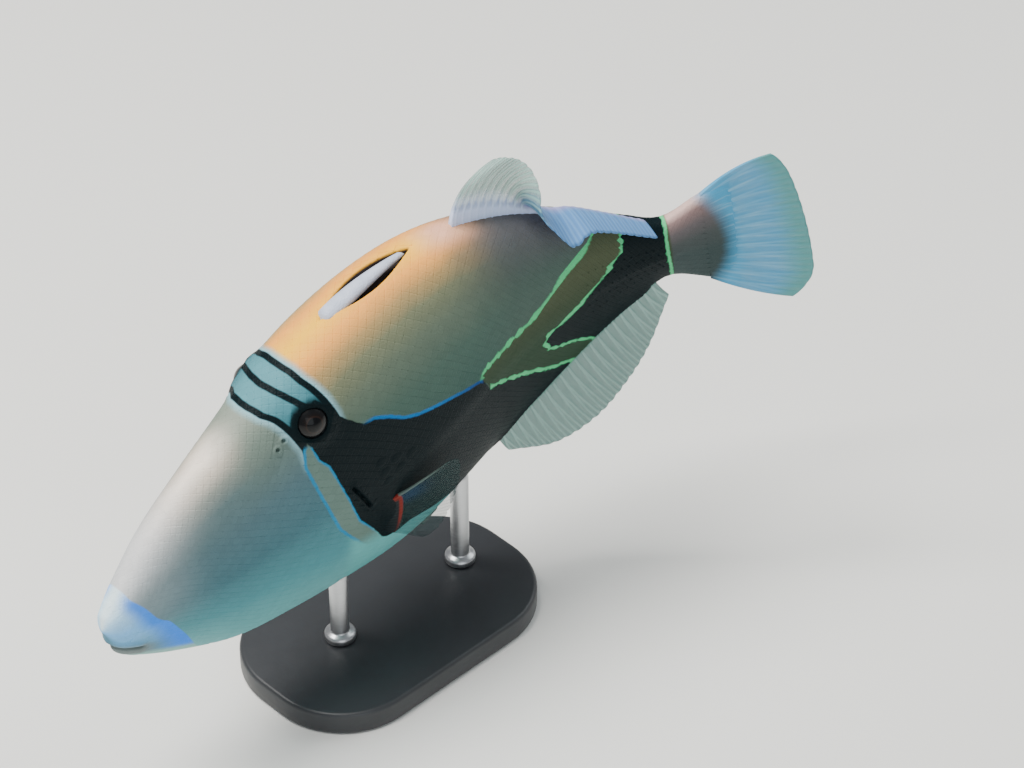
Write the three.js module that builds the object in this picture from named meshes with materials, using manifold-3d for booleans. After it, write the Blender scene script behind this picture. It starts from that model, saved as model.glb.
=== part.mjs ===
// A wedge-tail triggerfish, life size, swimming nose down with its tail swung to its left,
// held on two short rods over a flat base. Millimetres, +Z up, origin at the middle of the
// base's underside. The fish is first made straight, its snout at zero, x running back,
// y to its right and z up, and then bent and tilted into its pose.
import * as THREE from 'three';
import { mergeVertices } from 'three/addons/utils/BufferGeometryUtils.js';
import Module from 'manifold-3d';

const wasm = await Module();
wasm.setup();

// Pose
const TAIL_SWING = THREE.MathUtils.degToRad(42.6);
const SWING_FROM = 105;
const SWING_TO = 209;
const NOSE_DOWN = THREE.MathUtils.degToRad(11);

// Body: where its nodes part, and the clearance between touching nodes
const FIT_GAP = 0.3;
const HEAD_END = 76;
const TRUNK_END = 175;
const TAIL_END = 192;
const AROUND = 28;

// Body stations: distance back from the snout, back line, belly line, half width
const STATIONS = [
  [0, 3.5, -2.0, 2.0],
  [1.2, 5.0, -6.0, 3.1],
  [3.3, 6.8, -10.5, 4.2],
  [9, 11.7, -16.3, 5.7],
  [20, 19.9, -25.0, 7.5],
  [35, 26.8, -34.6, 9.7],
  [53, 33.5, -40.7, 12.7],
  [70, 39.8, -44.8, 16.3],
  [88, 42.6, -47.7, 17.8],
  [106, 43.1, -46.5, 16.8],
  [123, 40.7, -41.0, 14.3],
  [141, 34.3, -31.3, 11.0],
  [158, 25.2, -20.7, 7.6],
  [174, 15.3, -11.0, 4.6],
  [182, 12.6, -8.0, 3.6],
  [192, 18.0, -12.2, 2.4],
];
// The back is broad and round, the belly runs down to a keel
const BACK_ROUNDNESS = 2.6;
const BELLY_ROUNDNESS = 1.3;
const WIDEST_ABOVE_MIDDLE = 0.1;

// Eyes
const EYE_STATION = 65;
const EYE_HEIGHT = 28.3;
const EYE_RADIUS = 5.6;
const EYE_PROUD = 2.2;

// The bony rim round each eye: radius from the eye's axis, height above the eye's centre
const ORBIT_PROFILE = [
  [3.2, 0.5],
  [7.6, 0.5],
  [7.0, 2.9],
  [5.5, 4.4],
  [4.6, 4.4],
];

// Nostrils before each eye, and the groove that runs forward below them
const NOSTRILS = [
  [57.2, 27.2],
  [55.0, 25.6],
];
const NOSTRIL_RADIUS = 0.8;
const EYE_GROOVE = { station: 51, height: 19.5, length: 11, radius: 0.8, slope: 40 };

// Mouth: small, at the tip of the snout, closed, with fleshy lips
const MOUTH_FRONT_HEIGHT = -4.2;
const MOUTH_SLOPE = -0.7;
const MOUTH_CORNER = 8;
const LIP_RADIUS = 1.6;
const LIP_APART = 2.9;
// How deep each lip's middle lies in the skin along the jaw and at its ends
const LIP_SUNK = 1;
const LIP_END_SUNK = 2.4;
const UPPER_LIP_FRONT = 1.2;
const LOWER_LIP_FRONT = 2.1;

// Gill slit: short and slanted, above the pectoral fin's root
const GILL_SLIT = { station: 71.5, height: -3, length: 12, width: 0.8, depth: 1.6, slant: 20 };

// Enlarged plates behind the gill slit: station and height of each
const PLATES = [
  [78.5, 5],
  [79, 1],
  [79.5, -3],
  [83, 3.4],
  [83.5, -0.8],
  [87.5, 1.4],
];
const PLATE_RADIUS = 1.9;
const PLATE_PROUD = 0.45;
const PLATE_DEPTH = 1.6;

// Rows of small hooked spines along the tail
const HOOK_ROWS = 4;
const HOOKS_PER_ROW = 10;
const HOOKS_FROM = 151;
const HOOKS_TO = 186;
const HOOK_LENGTH = 1.7;
const HOOK_RADIUS = 0.6;
const HOOK_SUNK = 0.6;
const HOOK_BEND = 0.9;
// The rows spread over this share of the tail's height
const HOOK_SPREAD = 0.5;

// Folded trigger spines and their groove
const GROOVE_FROM = 82;
const GROOVE_TO = 113;
const GROOVE_DEPTH = 3.2;
const GROOVE_HALF_WIDTH = 2.7;
const SPINE_RADIUS = 1.8;
const SPINE_TIP_RADIUS = 0.6;
const SPINE_TAPER = 1.6;
const SPINE_TIP_RISE = 1.6;
const SECOND_SPINE = { from: 88, to: 101, radius: 0.8, tipRadius: 0.35, aside: 1.5 };

// Fins: thickness of the membrane at the root and at the margin
const ROOT_THICKNESS = 2.4;
const MARGIN_THICKNESS = 0.6;
// How far the middle of each fin root lies inside the body before it is trimmed
const ROOT_SINK = 1.5;
// Rays stand out of both faces of the membrane
const RAY_PROUD = 0.32;
// Share of that height left at a ray's root and tip
const RAY_END_SHARE = 0.3;
// How much the rays of a median fin arch up and bow back, and how late they lean over
const FIN_ARCH = 0.35;
const FIN_BOW = 0.25;
const FIN_LEAN = 1.4;
const DORSAL_RAY_COUNT = 24;
const ANAL_RAY_COUNT = 21;
const CAUDAL_RAY_COUNT = 12;
const PECTORAL_RAY_COUNT = 12;

const DORSAL_FROM = 125;
const DORSAL_TO = 176;
// Share of the base, then how far the ray's tip lies back, up and to the left of its root
const DORSAL_RAYS = [
  [0, 17, 11, -1.5],
  [0.17, 13, 16, 6.5],
  [0.33, 6, 12.5, 14],
  [0.5, 1, 5, 16],
  [0.67, 0.5, 1.5, 13.5],
  [0.83, 1, 1, 11],
  [1, 3, 0.5, 8.5],
];

const ANAL_FROM = 126;
const ANAL_TO = 177;
const ANAL_RAYS = [
  [0, 3, -7, -0.5],
  [0.2, 5.5, -15.3, 3],
  [0.4, 7.5, -16.2, 5.5],
  [0.6, 7.5, -13.7, 6],
  [0.8, 6, -11, 4],
  [1, 3.5, -5.5, 0],
];

// Tail fin: its tips' heights, and a rear margin that is fullest at one height
const CAUDAL_TOP = 28.2;
const CAUDAL_BOTTOM = -24.3;
const CAUDAL_REAR = 219.3;
const CAUDAL_FULLEST = -13;
const CAUDAL_CUT_BACK = 5.5;
const CAUDAL_CORNER = { upper: 4, lower: 1.6 };
const CAUDAL_FAN_BOW = 13;
const CAUDAL_EDGE_HALF = 0.6;

// Pectoral fin: station, height, slope in degrees and length of its top and bottom ray
const PECTORAL_TOP = { station: 79, height: -10.5, slope: 14, length: 24 };
const PECTORAL_BOTTOM = { station: 82, height: -24, slope: -34, length: 14.4 };
// How far its root lies in the flank, and how far it stands off soon after and at the tip
const PECTORAL_SINK = 1;
const PECTORAL_RISE = 4.2;
const PECTORAL_SPREAD = 2.6;

const PELVIC = { station: 97, length: 6, radius: 1.8, tipRadius: 0.5, drop: 1.2 };

// Stand
const BASE_SIZE = [84, 52, 7];
const BASE_CORNER = 22;
const BASE_BEVEL = 1;
const ROD_RADIUS = 2.5;
const ROD_STATIONS = { front: 68, rear: 112 };
const KEEL_CLEARANCE = 20;
const CRADLE_HEIGHT = 3;
// The stations that lie over the middle of the base
const BALANCE_STATION = 91;
const BALANCE_SIDE = 2;

const lerp = THREE.MathUtils.lerp;
const clamp = THREE.MathUtils.clamp;

// Smooth value of one column of a table at x, through every row
function along(table, column, x) {
  const last = table.length - 1;
  const slope = (i) => {
    const before = table[Math.max(i - 1, 0)];
    const after = table[Math.min(i + 1, last)];
    return (after[column] - before[column]) / (after[0] - before[0]);
  };
  let i = 0;
  while (i < last - 1 && table[i + 1][0] < x) i += 1;
  const [a, b] = [table[i], table[i + 1]];
  const span = b[0] - a[0];
  const t = clamp((x - a[0]) / span, 0, 1);
  const ease = t * t * (3 - 2 * t);
  const leave = t * (1 - t) * (1 - t) * slope(i) * span;
  const arrive = t * t * (1 - t) * slope(i + 1) * span;
  return lerp(a[column], b[column], ease) + leave - arrive;
}

const backLine = (x) => along(STATIONS, 1, x);
const bellyLine = (x) => along(STATIONS, 2, x);
const halfWidth = (x) => along(STATIONS, 3, x);

function sectionCentre(x) {
  const middle = (backLine(x) + bellyLine(x)) / 2;
  return middle + (WIDEST_ABOVE_MIDDLE * (backLine(x) - bellyLine(x))) / 2;
}

// Half width of the body at station x and height z
function flank(x, z) {
  const centre = sectionCentre(x);
  const above = z > centre;
  const reach = above ? backLine(x) - centre : centre - bellyLine(x);
  const power = above ? BACK_ROUNDNESS : BELLY_ROUNDNESS;
  const share = clamp(Math.abs(z - centre) / reach, 0, 1);
  return halfWidth(x) * Math.pow(1 - Math.pow(share, power), 1 / power);
}

// A point on the body's skin: up runs from 1 on the back to -1 on the keel, side from -1 to 1
function skin(x, side, up) {
  const power = up > 0 ? BACK_ROUNDNESS : BELLY_ROUNDNESS;
  const centre = sectionCentre(x);
  const reach = up > 0 ? backLine(x) - centre : centre - bellyLine(x);
  const z = centre + Math.sign(up) * reach * Math.pow(Math.abs(up), 2 / power);
  const y = Math.sign(side) * halfWidth(x) * Math.pow(Math.abs(side), 2 / power);
  return new THREE.Vector3(x, y, z);
}

// The skin's outward direction on one side of the body
function outward(x, z, side) {
  const step = 0.5;
  const dx = (flank(x + step, z) - flank(x - step, z)) / (2 * step);
  const dz = (flank(x, z + step) - flank(x, z - step)) / (2 * step);
  return new THREE.Vector3(-dx, side, -dz).normalize();
}

// Straight fish to posed fish
function swing(p) {
  const length = SWING_TO - SWING_FROM;
  const bend = -TAIL_SWING / length;
  const inside = clamp(p.x - SWING_FROM, 0, length);
  const beyond = Math.max(p.x - SWING_TO, 0);
  const angle = bend * inside;
  const spineX = Math.min(p.x, SWING_FROM) + Math.sin(angle) / bend + Math.cos(angle) * beyond;
  const spineY = (1 - Math.cos(angle)) / bend + Math.sin(angle) * beyond;
  return new THREE.Vector3(spineX - Math.sin(angle) * p.y, spineY + Math.cos(angle) * p.y, p.z);
}

function tilt(p) {
  const x = p.x * Math.cos(NOSE_DOWN) - p.z * Math.sin(NOSE_DOWN);
  const z = p.x * Math.sin(NOSE_DOWN) + p.z * Math.cos(NOSE_DOWN);
  return new THREE.Vector3(x, p.y, z);
}

const keelAt = (x) => tilt(swing(new THREE.Vector3(x, 0, bellyLine(x))));
const LIFT = BASE_SIZE[2] + KEEL_CLEARANCE - keelAt(ROD_STATIONS.front).z;
const pose = (p) => {
  const posed = tilt(swing(p));
  return posed.add(new THREE.Vector3(-BALANCE_STATION, BALANCE_SIDE, LIFT));
};

// Moves every vertex of a geometry by a function of its position
function moved(geometry, place) {
  const shape = geometry.clone();
  const position = shape.attributes.position;
  const point = new THREE.Vector3();
  for (let i = 0; i < position.count; i += 1) {
    point.fromBufferAttribute(position, i);
    const to = place(point);
    position.setXYZ(i, to.x, to.y, to.z);
  }
  return shape;
}

function welded(geometry) {
  const shape = geometry.clone();
  shape.deleteAttribute('normal');
  shape.deleteAttribute('uv');
  return mergeVertices(shape, 1e-5);
}

function solid(geometry) {
  const shape = welded(geometry);
  const vertProperties = Float32Array.from(shape.attributes.position.array);
  const triVerts = Uint32Array.from(shape.index.array);
  return new wasm.Manifold(new wasm.Mesh({ numProp: 3, vertProperties, triVerts }));
}

// The largest closed surface of a solid, as a geometry
function geometryOf(body) {
  const pieces = body.decompose();
  pieces.sort((a, b) => b.volume() - a.volume());
  const mesh = pieces[0].getMesh();
  const geometry = new THREE.BufferGeometry();
  geometry.setAttribute('position', new THREE.BufferAttribute(mesh.vertProperties, 3));
  geometry.setIndex(new THREE.BufferAttribute(mesh.triVerts, 1));
  return geometry;
}

// A length of the body from one station to another, its skin grown outward by grow
function bodyLength(from, to, steps, grow = 0) {
  const tube = new THREE.CylinderGeometry(1, 1, 1, AROUND, steps);
  return moved(tube, (v) => {
    const x = lerp(from, to, 0.5 - v.y);
    const radius = Math.hypot(v.x, v.z);
    const centre = new THREE.Vector3(x, 0, sectionCentre(x));
    if (radius < 0.5) return centre;
    const rim = skin(x, v.x, v.z);
    const away = rim.clone().sub(centre).setX(0);
    return rim.addScaledVector(away.normalize(), grow);
  });
}

// A thin closed leaf over a surface centre(u, v), u across the rays and v along them,
// both faces split into the same triangles. Each column gives its place across the fin
// and how much of a ray's height it has at v.
function leaf(columns, rows, centre, halfThickness) {
  const slab = new THREE.BoxGeometry(1, 1, 1, columns.length - 1, rows);
  const back = slab.groups[5];
  const index = slab.index;
  for (let i = back.start; i < back.start + back.count; i += 6) {
    const [a, b, d, c] = [0, 1, 2, 4].map((corner) => index.getX(i + corner));
    [a, b, c, a, c, d].forEach((vertex, corner) => index.setX(i + corner, vertex));
  }
  const step = 0.01;
  return moved(welded(slab), (p) => {
    const v = p.y + 0.5;
    const { u, ridge } = columns[Math.round((p.x + 0.5) * (columns.length - 1))](v);
    const across = centre(u + step, v).sub(centre(u - step, v));
    const out = centre(u, v + step).sub(centre(u, v - step));
    const normal = across.cross(out).normalize();
    const half = halfThickness(u, v) + RAY_PROUD * ridge * lerp(RAY_END_SHARE, 1, Math.sin(Math.PI * v));
    return centre(u, v).addScaledVector(normal, Math.sign(p.z) * half);
  });
}

const fixed = (u, ridge) => () => ({ u, ridge });

// Three columns for each ray, so that it stands up between two furrows
function plainRays(count) {
  const columns = [fixed(0, 0)];
  for (let ray = 0; ray < count; ray += 1) {
    const middle = (ray + 0.5) / count;
    const side = 0.3 / count;
    columns.push(fixed(middle - side, 0), fixed(middle, 1), fixed(middle + side, 0));
  }
  return [...columns, fixed(1, 0)];
}

// Five columns for each ray, which parts into two branches towards the margin
function branchedRays(count) {
  const columns = [fixed(0, 0)];
  for (let ray = 0; ray < count; ray += 1) {
    const middle = (ray + 0.5) / count;
    const branch = (v) => lerp(0.08, 0.25, v) / count;
    columns.push(fixed(middle - 0.42 / count, 0));
    columns.push((v) => ({ u: middle - branch(v), ridge: 1 }));
    columns.push((v) => ({ u: middle, ridge: v < 0.5 ? 1 : 0 }));
    columns.push((v) => ({ u: middle + branch(v), ridge: 1 }));
    columns.push(fixed(middle + 0.42 / count, 0));
  }
  return [...columns, fixed(1, 0)];
}

// The whole body, grown by the fit gap, trims what grows out of it
const grownSkin = bodyLength(0, TAIL_END, 44, FIT_GAP);
const grownBody = solid(grownSkin);
const trimmed = (geometry) => solid(geometry).subtract(grownBody);

const membrane = (u, v) => lerp(ROOT_THICKNESS, MARGIN_THICKNESS, Math.sqrt(clamp(v, 0, 1))) / 2;

// A median fin: rays rise from the body's mid line and curve over to one side
function medianFin(from, to, rays, edge, sink) {
  return (u, v) => {
    const x = lerp(from, to, u);
    const [back, up, left] = [1, 2, 3].map((column) => along(rays, column, u));
    const arch = FIN_ARCH * Math.abs(left) * v * (1 - v) * Math.sign(sink);
    const bow = FIN_BOW * Math.abs(back) * v * (1 - v) * Math.sign(sink);
    const root = edge(x) - sink * (1 - v);
    const aside = left * Math.sign(v) * Math.pow(Math.abs(v), FIN_LEAN);
    return new THREE.Vector3(x + back * v, -aside, root + up * v + arch + bow);
  };
}

const dorsalSurface = medianFin(DORSAL_FROM, DORSAL_TO, DORSAL_RAYS, backLine, ROOT_SINK);
const analSurface = medianFin(ANAL_FROM, ANAL_TO, ANAL_RAYS, bellyLine, -ROOT_SINK);

// The tail fin: rays fan from the end of the body to a slightly rounded rear margin
function caudalSurface(u, v) {
  const rootX = TAIL_END + FIT_GAP;
  const rootZ = lerp(bellyLine(TAIL_END), backLine(TAIL_END), u);
  const tipZ = lerp(CAUDAL_BOTTOM, CAUDAL_TOP, u);
  const farthest = tipZ > CAUDAL_FULLEST ? CAUDAL_TOP : CAUDAL_BOTTOM;
  const offFull = (tipZ - CAUDAL_FULLEST) / (farthest - CAUDAL_FULLEST);
  const rounding = u > 0.5 ? CAUDAL_CORNER.upper : CAUDAL_CORNER.lower;
  const corner = rounding * Math.pow(2 * u - 1, 8);
  const tipX = CAUDAL_REAR - CAUDAL_CUT_BACK * offFull * offFull - corner;
  const bow = CAUDAL_FAN_BOW * (u - 0.5) * v * (1 - v);
  return new THREE.Vector3(lerp(rootX, tipX, v), 0, lerp(rootZ, tipZ, v) + bow);
}

function caudalThickness(u, v) {
  const oval = halfWidth(TAIL_END) * Math.sqrt(Math.max(1 - (2 * u - 1) ** 2, 0));
  const root = Math.max(oval, CAUDAL_EDGE_HALF);
  return lerp(root, MARGIN_THICKNESS / 2, Math.sqrt(clamp(v, 0, 1)));
}

// The left pectoral fin: rays fan back and down from a slanted base, standing off the flank
function pectoralSurface(u, v) {
  const between = (key) => lerp(PECTORAL_TOP[key], PECTORAL_BOTTOM[key], u);
  const [x, z] = [between('station'), between('height')];
  const slope = THREE.MathUtils.degToRad(between('slope'));
  const rounding = 1 - 0.1 * Math.pow(2 * u - 1, 2) - 0.25 * Math.pow(2 * u - 1, 8);
  const reach = between('length') * rounding * v;
  const lifted = PECTORAL_RISE * Math.sqrt(clamp(v, 0, 1)) + PECTORAL_SPREAD * v;
  const off = flank(x, z) - PECTORAL_SINK + lifted;
  return new THREE.Vector3(x + reach * Math.cos(slope), -off, z + reach * Math.sin(slope));
}

function mirrored(geometry) {
  const shape = moved(geometry, (p) => new THREE.Vector3(p.x, -p.y, p.z));
  const index = shape.index;
  for (let i = 0; i < index.count; i += 3) {
    const first = index.getX(i);
    index.setX(i, index.getX(i + 2));
    index.setX(i + 2, first);
  }
  return shape;
}

function eyeCentre(side) {
  const y = side * flank(EYE_STATION, EYE_HEIGHT);
  const onSkin = new THREE.Vector3(EYE_STATION, y, EYE_HEIGHT);
  return onSkin.addScaledVector(outward(EYE_STATION, EYE_HEIGHT, side), EYE_PROUD - EYE_RADIUS);
}

function eyeball(side, grow = 0) {
  const ball = new THREE.SphereGeometry(EYE_RADIUS + grow, 14, 8);
  const facing = new THREE.Quaternion();
  facing.setFromUnitVectors(new THREE.Vector3(0, 1, 0), outward(EYE_STATION, EYE_HEIGHT, side));
  const centre = eyeCentre(side);
  return moved(ball, (p) => p.clone().applyQuaternion(facing).add(centre));
}

// Turns a shape made along +Z so that it stands out of the skin at a station and height
function onSkin(geometry, x, z, side, lift = 0) {
  const normal = outward(x, z, side);
  const turn = new THREE.Quaternion().setFromUnitVectors(new THREE.Vector3(0, 0, 1), normal);
  const at = new THREE.Vector3(x, side * flank(x, z), z).addScaledVector(normal, lift);
  return moved(geometry, (p) => p.clone().applyQuaternion(turn).add(at));
}

// A low cone of bone that the eye looks out of
function orbit(side) {
  const closed = [...ORBIT_PROFILE, ORBIT_PROFILE[0]];
  const ring = new THREE.LatheGeometry(closed.map(([r, h]) => new THREE.Vector2(r, h)), 18);
  ring.rotateX(Math.PI / 2);
  return onSkin(ring, EYE_STATION, EYE_HEIGHT, side, EYE_PROUD - EYE_RADIUS);
}

// One lip: a fleshy roll round the front of the snout, offset above or below the mouth line
function lip(offset) {
  const height = (x) => MOUTH_FRONT_HEIGHT + MOUTH_SLOPE * x + offset;
  const halfPath = [MOUTH_CORNER + 1, MOUTH_CORNER - 2, 3.6].map((x) => {
    const sunk = x > MOUTH_CORNER ? LIP_END_SUNK : LIP_SUNK;
    return new THREE.Vector3(x, flank(x, height(x)) - sunk, height(x));
  });
  const frontX = offset > 0 ? UPPER_LIP_FRONT : LOWER_LIP_FRONT;
  const front = new THREE.Vector3(frontX, 0, height(frontX));
  const otherHalf = halfPath.map((p) => new THREE.Vector3(p.x, -p.y, p.z)).reverse();
  const path = new THREE.CatmullRomCurve3([...halfPath, front, ...otherHalf]);
  const round = new THREE.Shape().absarc(0, 0, LIP_RADIUS, 0, Math.PI * 2);
  const roll = { steps: 12, curveSegments: 4, extrudePath: path };
  return solid(new THREE.ExtrudeGeometry(round, roll));
}

function gillSlit(side) {
  const { station, height, length, width, depth, slant } = GILL_SLIT;
  const slit = new THREE.BoxGeometry(width, 2 * depth, length, 1, 1, 4);
  slit.rotateY(-THREE.MathUtils.degToRad(slant));
  return moved(slit, (p) => {
    const x = station + p.x;
    const z = height + p.z;
    return new THREE.Vector3(x, side * flank(x, z) + p.y, z);
  });
}

function eyeGroove(side) {
  const { station, height, length, radius, slope } = EYE_GROOVE;
  const groove = new THREE.SphereGeometry(1, 8, 6);
  groove.scale(length / 2, radius, radius);
  groove.rotateY(-THREE.MathUtils.degToRad(slope));
  return moved(groove, (p) => {
    const x = station + p.x;
    const z = height + p.z;
    return new THREE.Vector3(x, side * flank(x, z) + p.y, z);
  });
}

// Head, with its lips, orbits, nostrils and gill slits
function head() {
  let body = solid(bodyLength(0, HEAD_END, 18));
  body = body.add(lip(LIP_APART / 2)).add(lip(-LIP_APART / 2));
  for (const side of [-1, 1]) {
    body = body.add(solid(orbit(side)));
    body = body.subtract(solid(eyeball(side, FIT_GAP)));
    body = body.subtract(solid(gillSlit(side)));
    body = body.subtract(solid(eyeGroove(side)));
    for (const [x, z] of NOSTRILS) {
      const pit = new THREE.SphereGeometry(NOSTRIL_RADIUS, 6, 4);
      body = body.subtract(solid(onSkin(pit, x, z, side)));
    }
  }
  return body;
}

// What the groove takes out of the back, for the folded spines to lie in
function groove() {
  const trench = new THREE.BoxGeometry(1, 2 * GROOVE_HALF_WIDTH, 1, 8, 1, 1);
  return moved(trench, (p) => {
    const x = lerp(GROOVE_FROM, GROOVE_TO, p.x + 0.5);
    return new THREE.Vector3(x, p.y, backLine(x) + 2 * GROOVE_DEPTH * p.z);
  });
}

function plates(side) {
  return PLATES.map(([x, z]) => {
    const plate = new THREE.CylinderGeometry(0.65 * PLATE_RADIUS, PLATE_RADIUS, PLATE_DEPTH, 7);
    plate.rotateX(Math.PI / 2);
    return solid(onSkin(plate, x, z, side, PLATE_PROUD - PLATE_DEPTH / 2));
  });
}

// Hooked spines between two stations, in rows from the back down to the belly
function hooks(side, from, to) {
  const spines = [];
  for (let row = 0; row < HOOK_ROWS; row += 1) {
    for (let i = 0; i < HOOKS_PER_ROW; i += 1) {
      const x = lerp(HOOKS_FROM, HOOKS_TO, (i + (row % 2) / 2) / HOOKS_PER_ROW);
      const share = lerp(-HOOK_SPREAD, HOOK_SPREAD, row / (HOOK_ROWS - 1));
      const z = sectionCentre(x) + (share * (backLine(x) - bellyLine(x))) / 2;
      if (x > from + HOOK_LENGTH && x < to - HOOK_LENGTH) {
        const hook = new THREE.ConeGeometry(HOOK_RADIUS, HOOK_LENGTH, 5);
        hook.rotateX(Math.PI / 2);
        const bent = moved(hook, (p) => {
          const towardTip = p.z / HOOK_LENGTH + 0.5;
          return new THREE.Vector3(p.x - HOOK_BEND * towardTip * towardTip, p.y, p.z);
        });
        spines.push(solid(onSkin(bent, x, z, side, HOOK_LENGTH / 2 - HOOK_SUNK)));
      }
    }
  }
  return spines;
}

function trunk() {
  const start = HEAD_END + FIT_GAP;
  let body = solid(bodyLength(start, TRUNK_END, 22)).subtract(solid(groove()));
  for (const side of [-1, 1]) {
    body = wasm.Manifold.union([body, ...plates(side), ...hooks(side, start, TRUNK_END)]);
  }
  return body;
}

function tailStem() {
  const start = TRUNK_END + FIT_GAP;
  let body = solid(bodyLength(start, TAIL_END, 6));
  for (const side of [-1, 1]) {
    body = wasm.Manifold.union([body, ...hooks(side, start, TAIL_END)]);
  }
  return body;
}

// A spine laid back in the groove, tapering and rising a little to its tip
function laidSpine(from, to, radius, tipRadius, aside) {
  const rod = new THREE.CylinderGeometry(1, 1, 1, 8, 8);
  return solid(moved(rod, (v) => {
    const t = 0.5 - v.y;
    const x = lerp(from, to, t);
    const thick = lerp(radius, tipRadius, Math.pow(t, SPINE_TAPER));
    const lowest = backLine(x) - GROOVE_DEPTH + FIT_GAP + SPINE_TIP_RISE * t;
    return new THREE.Vector3(x, aside + v.x * thick, lowest + thick * (1 + v.z));
  }));
}

// The stout first spine, with the slender second one against its right side
function triggerSpines() {
  const { from, to, radius, tipRadius, aside } = SECOND_SPINE;
  const first = laidSpine(GROOVE_FROM + FIT_GAP, GROOVE_TO - 2, SPINE_RADIUS, SPINE_TIP_RADIUS, 0);
  return first.add(laidSpine(from, to, radius, tipRadius, aside));
}

// The short spine that ends the pelvis, on the keel
function pelvicSpine() {
  const cone = new THREE.CylinderGeometry(1, 1, 1, 8, 4);
  return trimmed(moved(cone, (v) => {
    const t = v.y + 0.5;
    const x = PELVIC.station + PELVIC.length * t;
    const radius = lerp(PELVIC.radius, PELVIC.tipRadius, t);
    const z = bellyLine(x) - PELVIC.drop * t;
    return new THREE.Vector3(x, -v.x * radius, z + v.z * radius);
  }));
}

function softDorsalFin() {
  return trimmed(leaf(plainRays(DORSAL_RAY_COUNT), 5, dorsalSurface, membrane));
}

function analFin() {
  return trimmed(leaf(plainRays(ANAL_RAY_COUNT), 4, analSurface, membrane));
}

function caudalFin() {
  return solid(leaf(branchedRays(CAUDAL_RAY_COUNT), 4, caudalSurface, caudalThickness));
}

function pectoralFin(side) {
  const left = leaf(plainRays(PECTORAL_RAY_COUNT), 3, pectoralSurface, membrane);
  return trimmed(side < 0 ? left : mirrored(left));
}

// Stand: rods end in a cradle cut to the keel
function standRod(station) {
  const foot = pose(new THREE.Vector3(station, 0, bellyLine(station)));
  const bottom = BASE_SIZE[2] + FIT_GAP;
  const top = foot.z + CRADLE_HEIGHT;
  const rod = new THREE.CylinderGeometry(ROD_RADIUS, ROD_RADIUS, top - bottom, 16);
  rod.rotateX(Math.PI / 2);
  rod.translate(foot.x, foot.y, (top + bottom) / 2);
  return solid(rod).subtract(solid(moved(grownSkin, pose)));
}

function standBase() {
  const [length, width, thickness] = BASE_SIZE;
  const [x, y] = [length / 2 - BASE_BEVEL, width / 2 - BASE_BEVEL];
  const r = BASE_CORNER;
  const outline = new THREE.Shape();
  outline.moveTo(x - r, -y);
  outline.absarc(x - r, -y + r, r, -Math.PI / 2, 0);
  outline.absarc(x - r, y - r, r, 0, Math.PI / 2);
  outline.absarc(-x + r, y - r, r, Math.PI / 2, Math.PI);
  outline.absarc(-x + r, -y + r, r, Math.PI, Math.PI * 1.5);
  const plate = new THREE.ExtrudeGeometry(outline, {
    depth: thickness - 2 * BASE_BEVEL,
    bevelThickness: BASE_BEVEL,
    bevelSize: BASE_BEVEL,
    bevelSegments: 1,
    curveSegments: 9,
  });
  return solid(plate.translate(0, 0, BASE_BEVEL));
}

const SATIN = 0.55;
const COLOURS = {
  skin: 0x8b8a78,
  tail: 0x3a4040,
  eye: 0x20201c,
  spine: 0xd8d4e2,
  fin: 0xa9b8b4,
  pectoral: 0xb9a79a,
  stand: 0x2a2c2e,
  rod: 0xb8babc,
};

const fish = new THREE.Group();

function add(name, body, colour, inPose = true) {
  const geometry = inPose ? moved(geometryOf(body), pose) : geometryOf(body);
  geometry.computeVertexNormals();
  const material = new THREE.MeshStandardMaterial({ color: colour, roughness: SATIN });
  const mesh = new THREE.Mesh(geometry, material);
  mesh.name = name;
  fish.add(mesh);
}

add('head', head(), COLOURS.skin);
add('trunk', trunk(), COLOURS.skin);
add('tail_stem', tailStem(), COLOURS.tail);
add('eye_left', solid(eyeball(-1)), COLOURS.eye);
add('eye_right', solid(eyeball(1)), COLOURS.eye);
add('first_dorsal_spines', triggerSpines(), COLOURS.spine);
add('soft_dorsal_fin', softDorsalFin(), COLOURS.fin);
add('anal_fin', analFin(), COLOURS.fin);
add('caudal_fin', caudalFin(), COLOURS.fin);
add('pectoral_fin_left', pectoralFin(-1), COLOURS.pectoral);
add('pectoral_fin_right', pectoralFin(1), COLOURS.pectoral);
add('pelvic_spine', pelvicSpine(), COLOURS.tail);
add('stand_base', standBase(), COLOURS.stand, false);
add('stand_rod_front', standRod(ROD_STATIONS.front), COLOURS.rod, false);
add('stand_rod_rear', standRod(ROD_STATIONS.rear), COLOURS.rod, false);

export default fish;
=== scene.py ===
"""Looks of the life-size wedge-tail triggerfish model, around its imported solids.

The fish is shaped straight, its snout at zero, x running back, y to its right and z up, all in
millimetres, and then swung, tilted and set on its stand as the solids are. Its left is side -1.
"""
import math

import bmesh
import bpy
import numpy as np
from mathutils import Matrix, Vector


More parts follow.
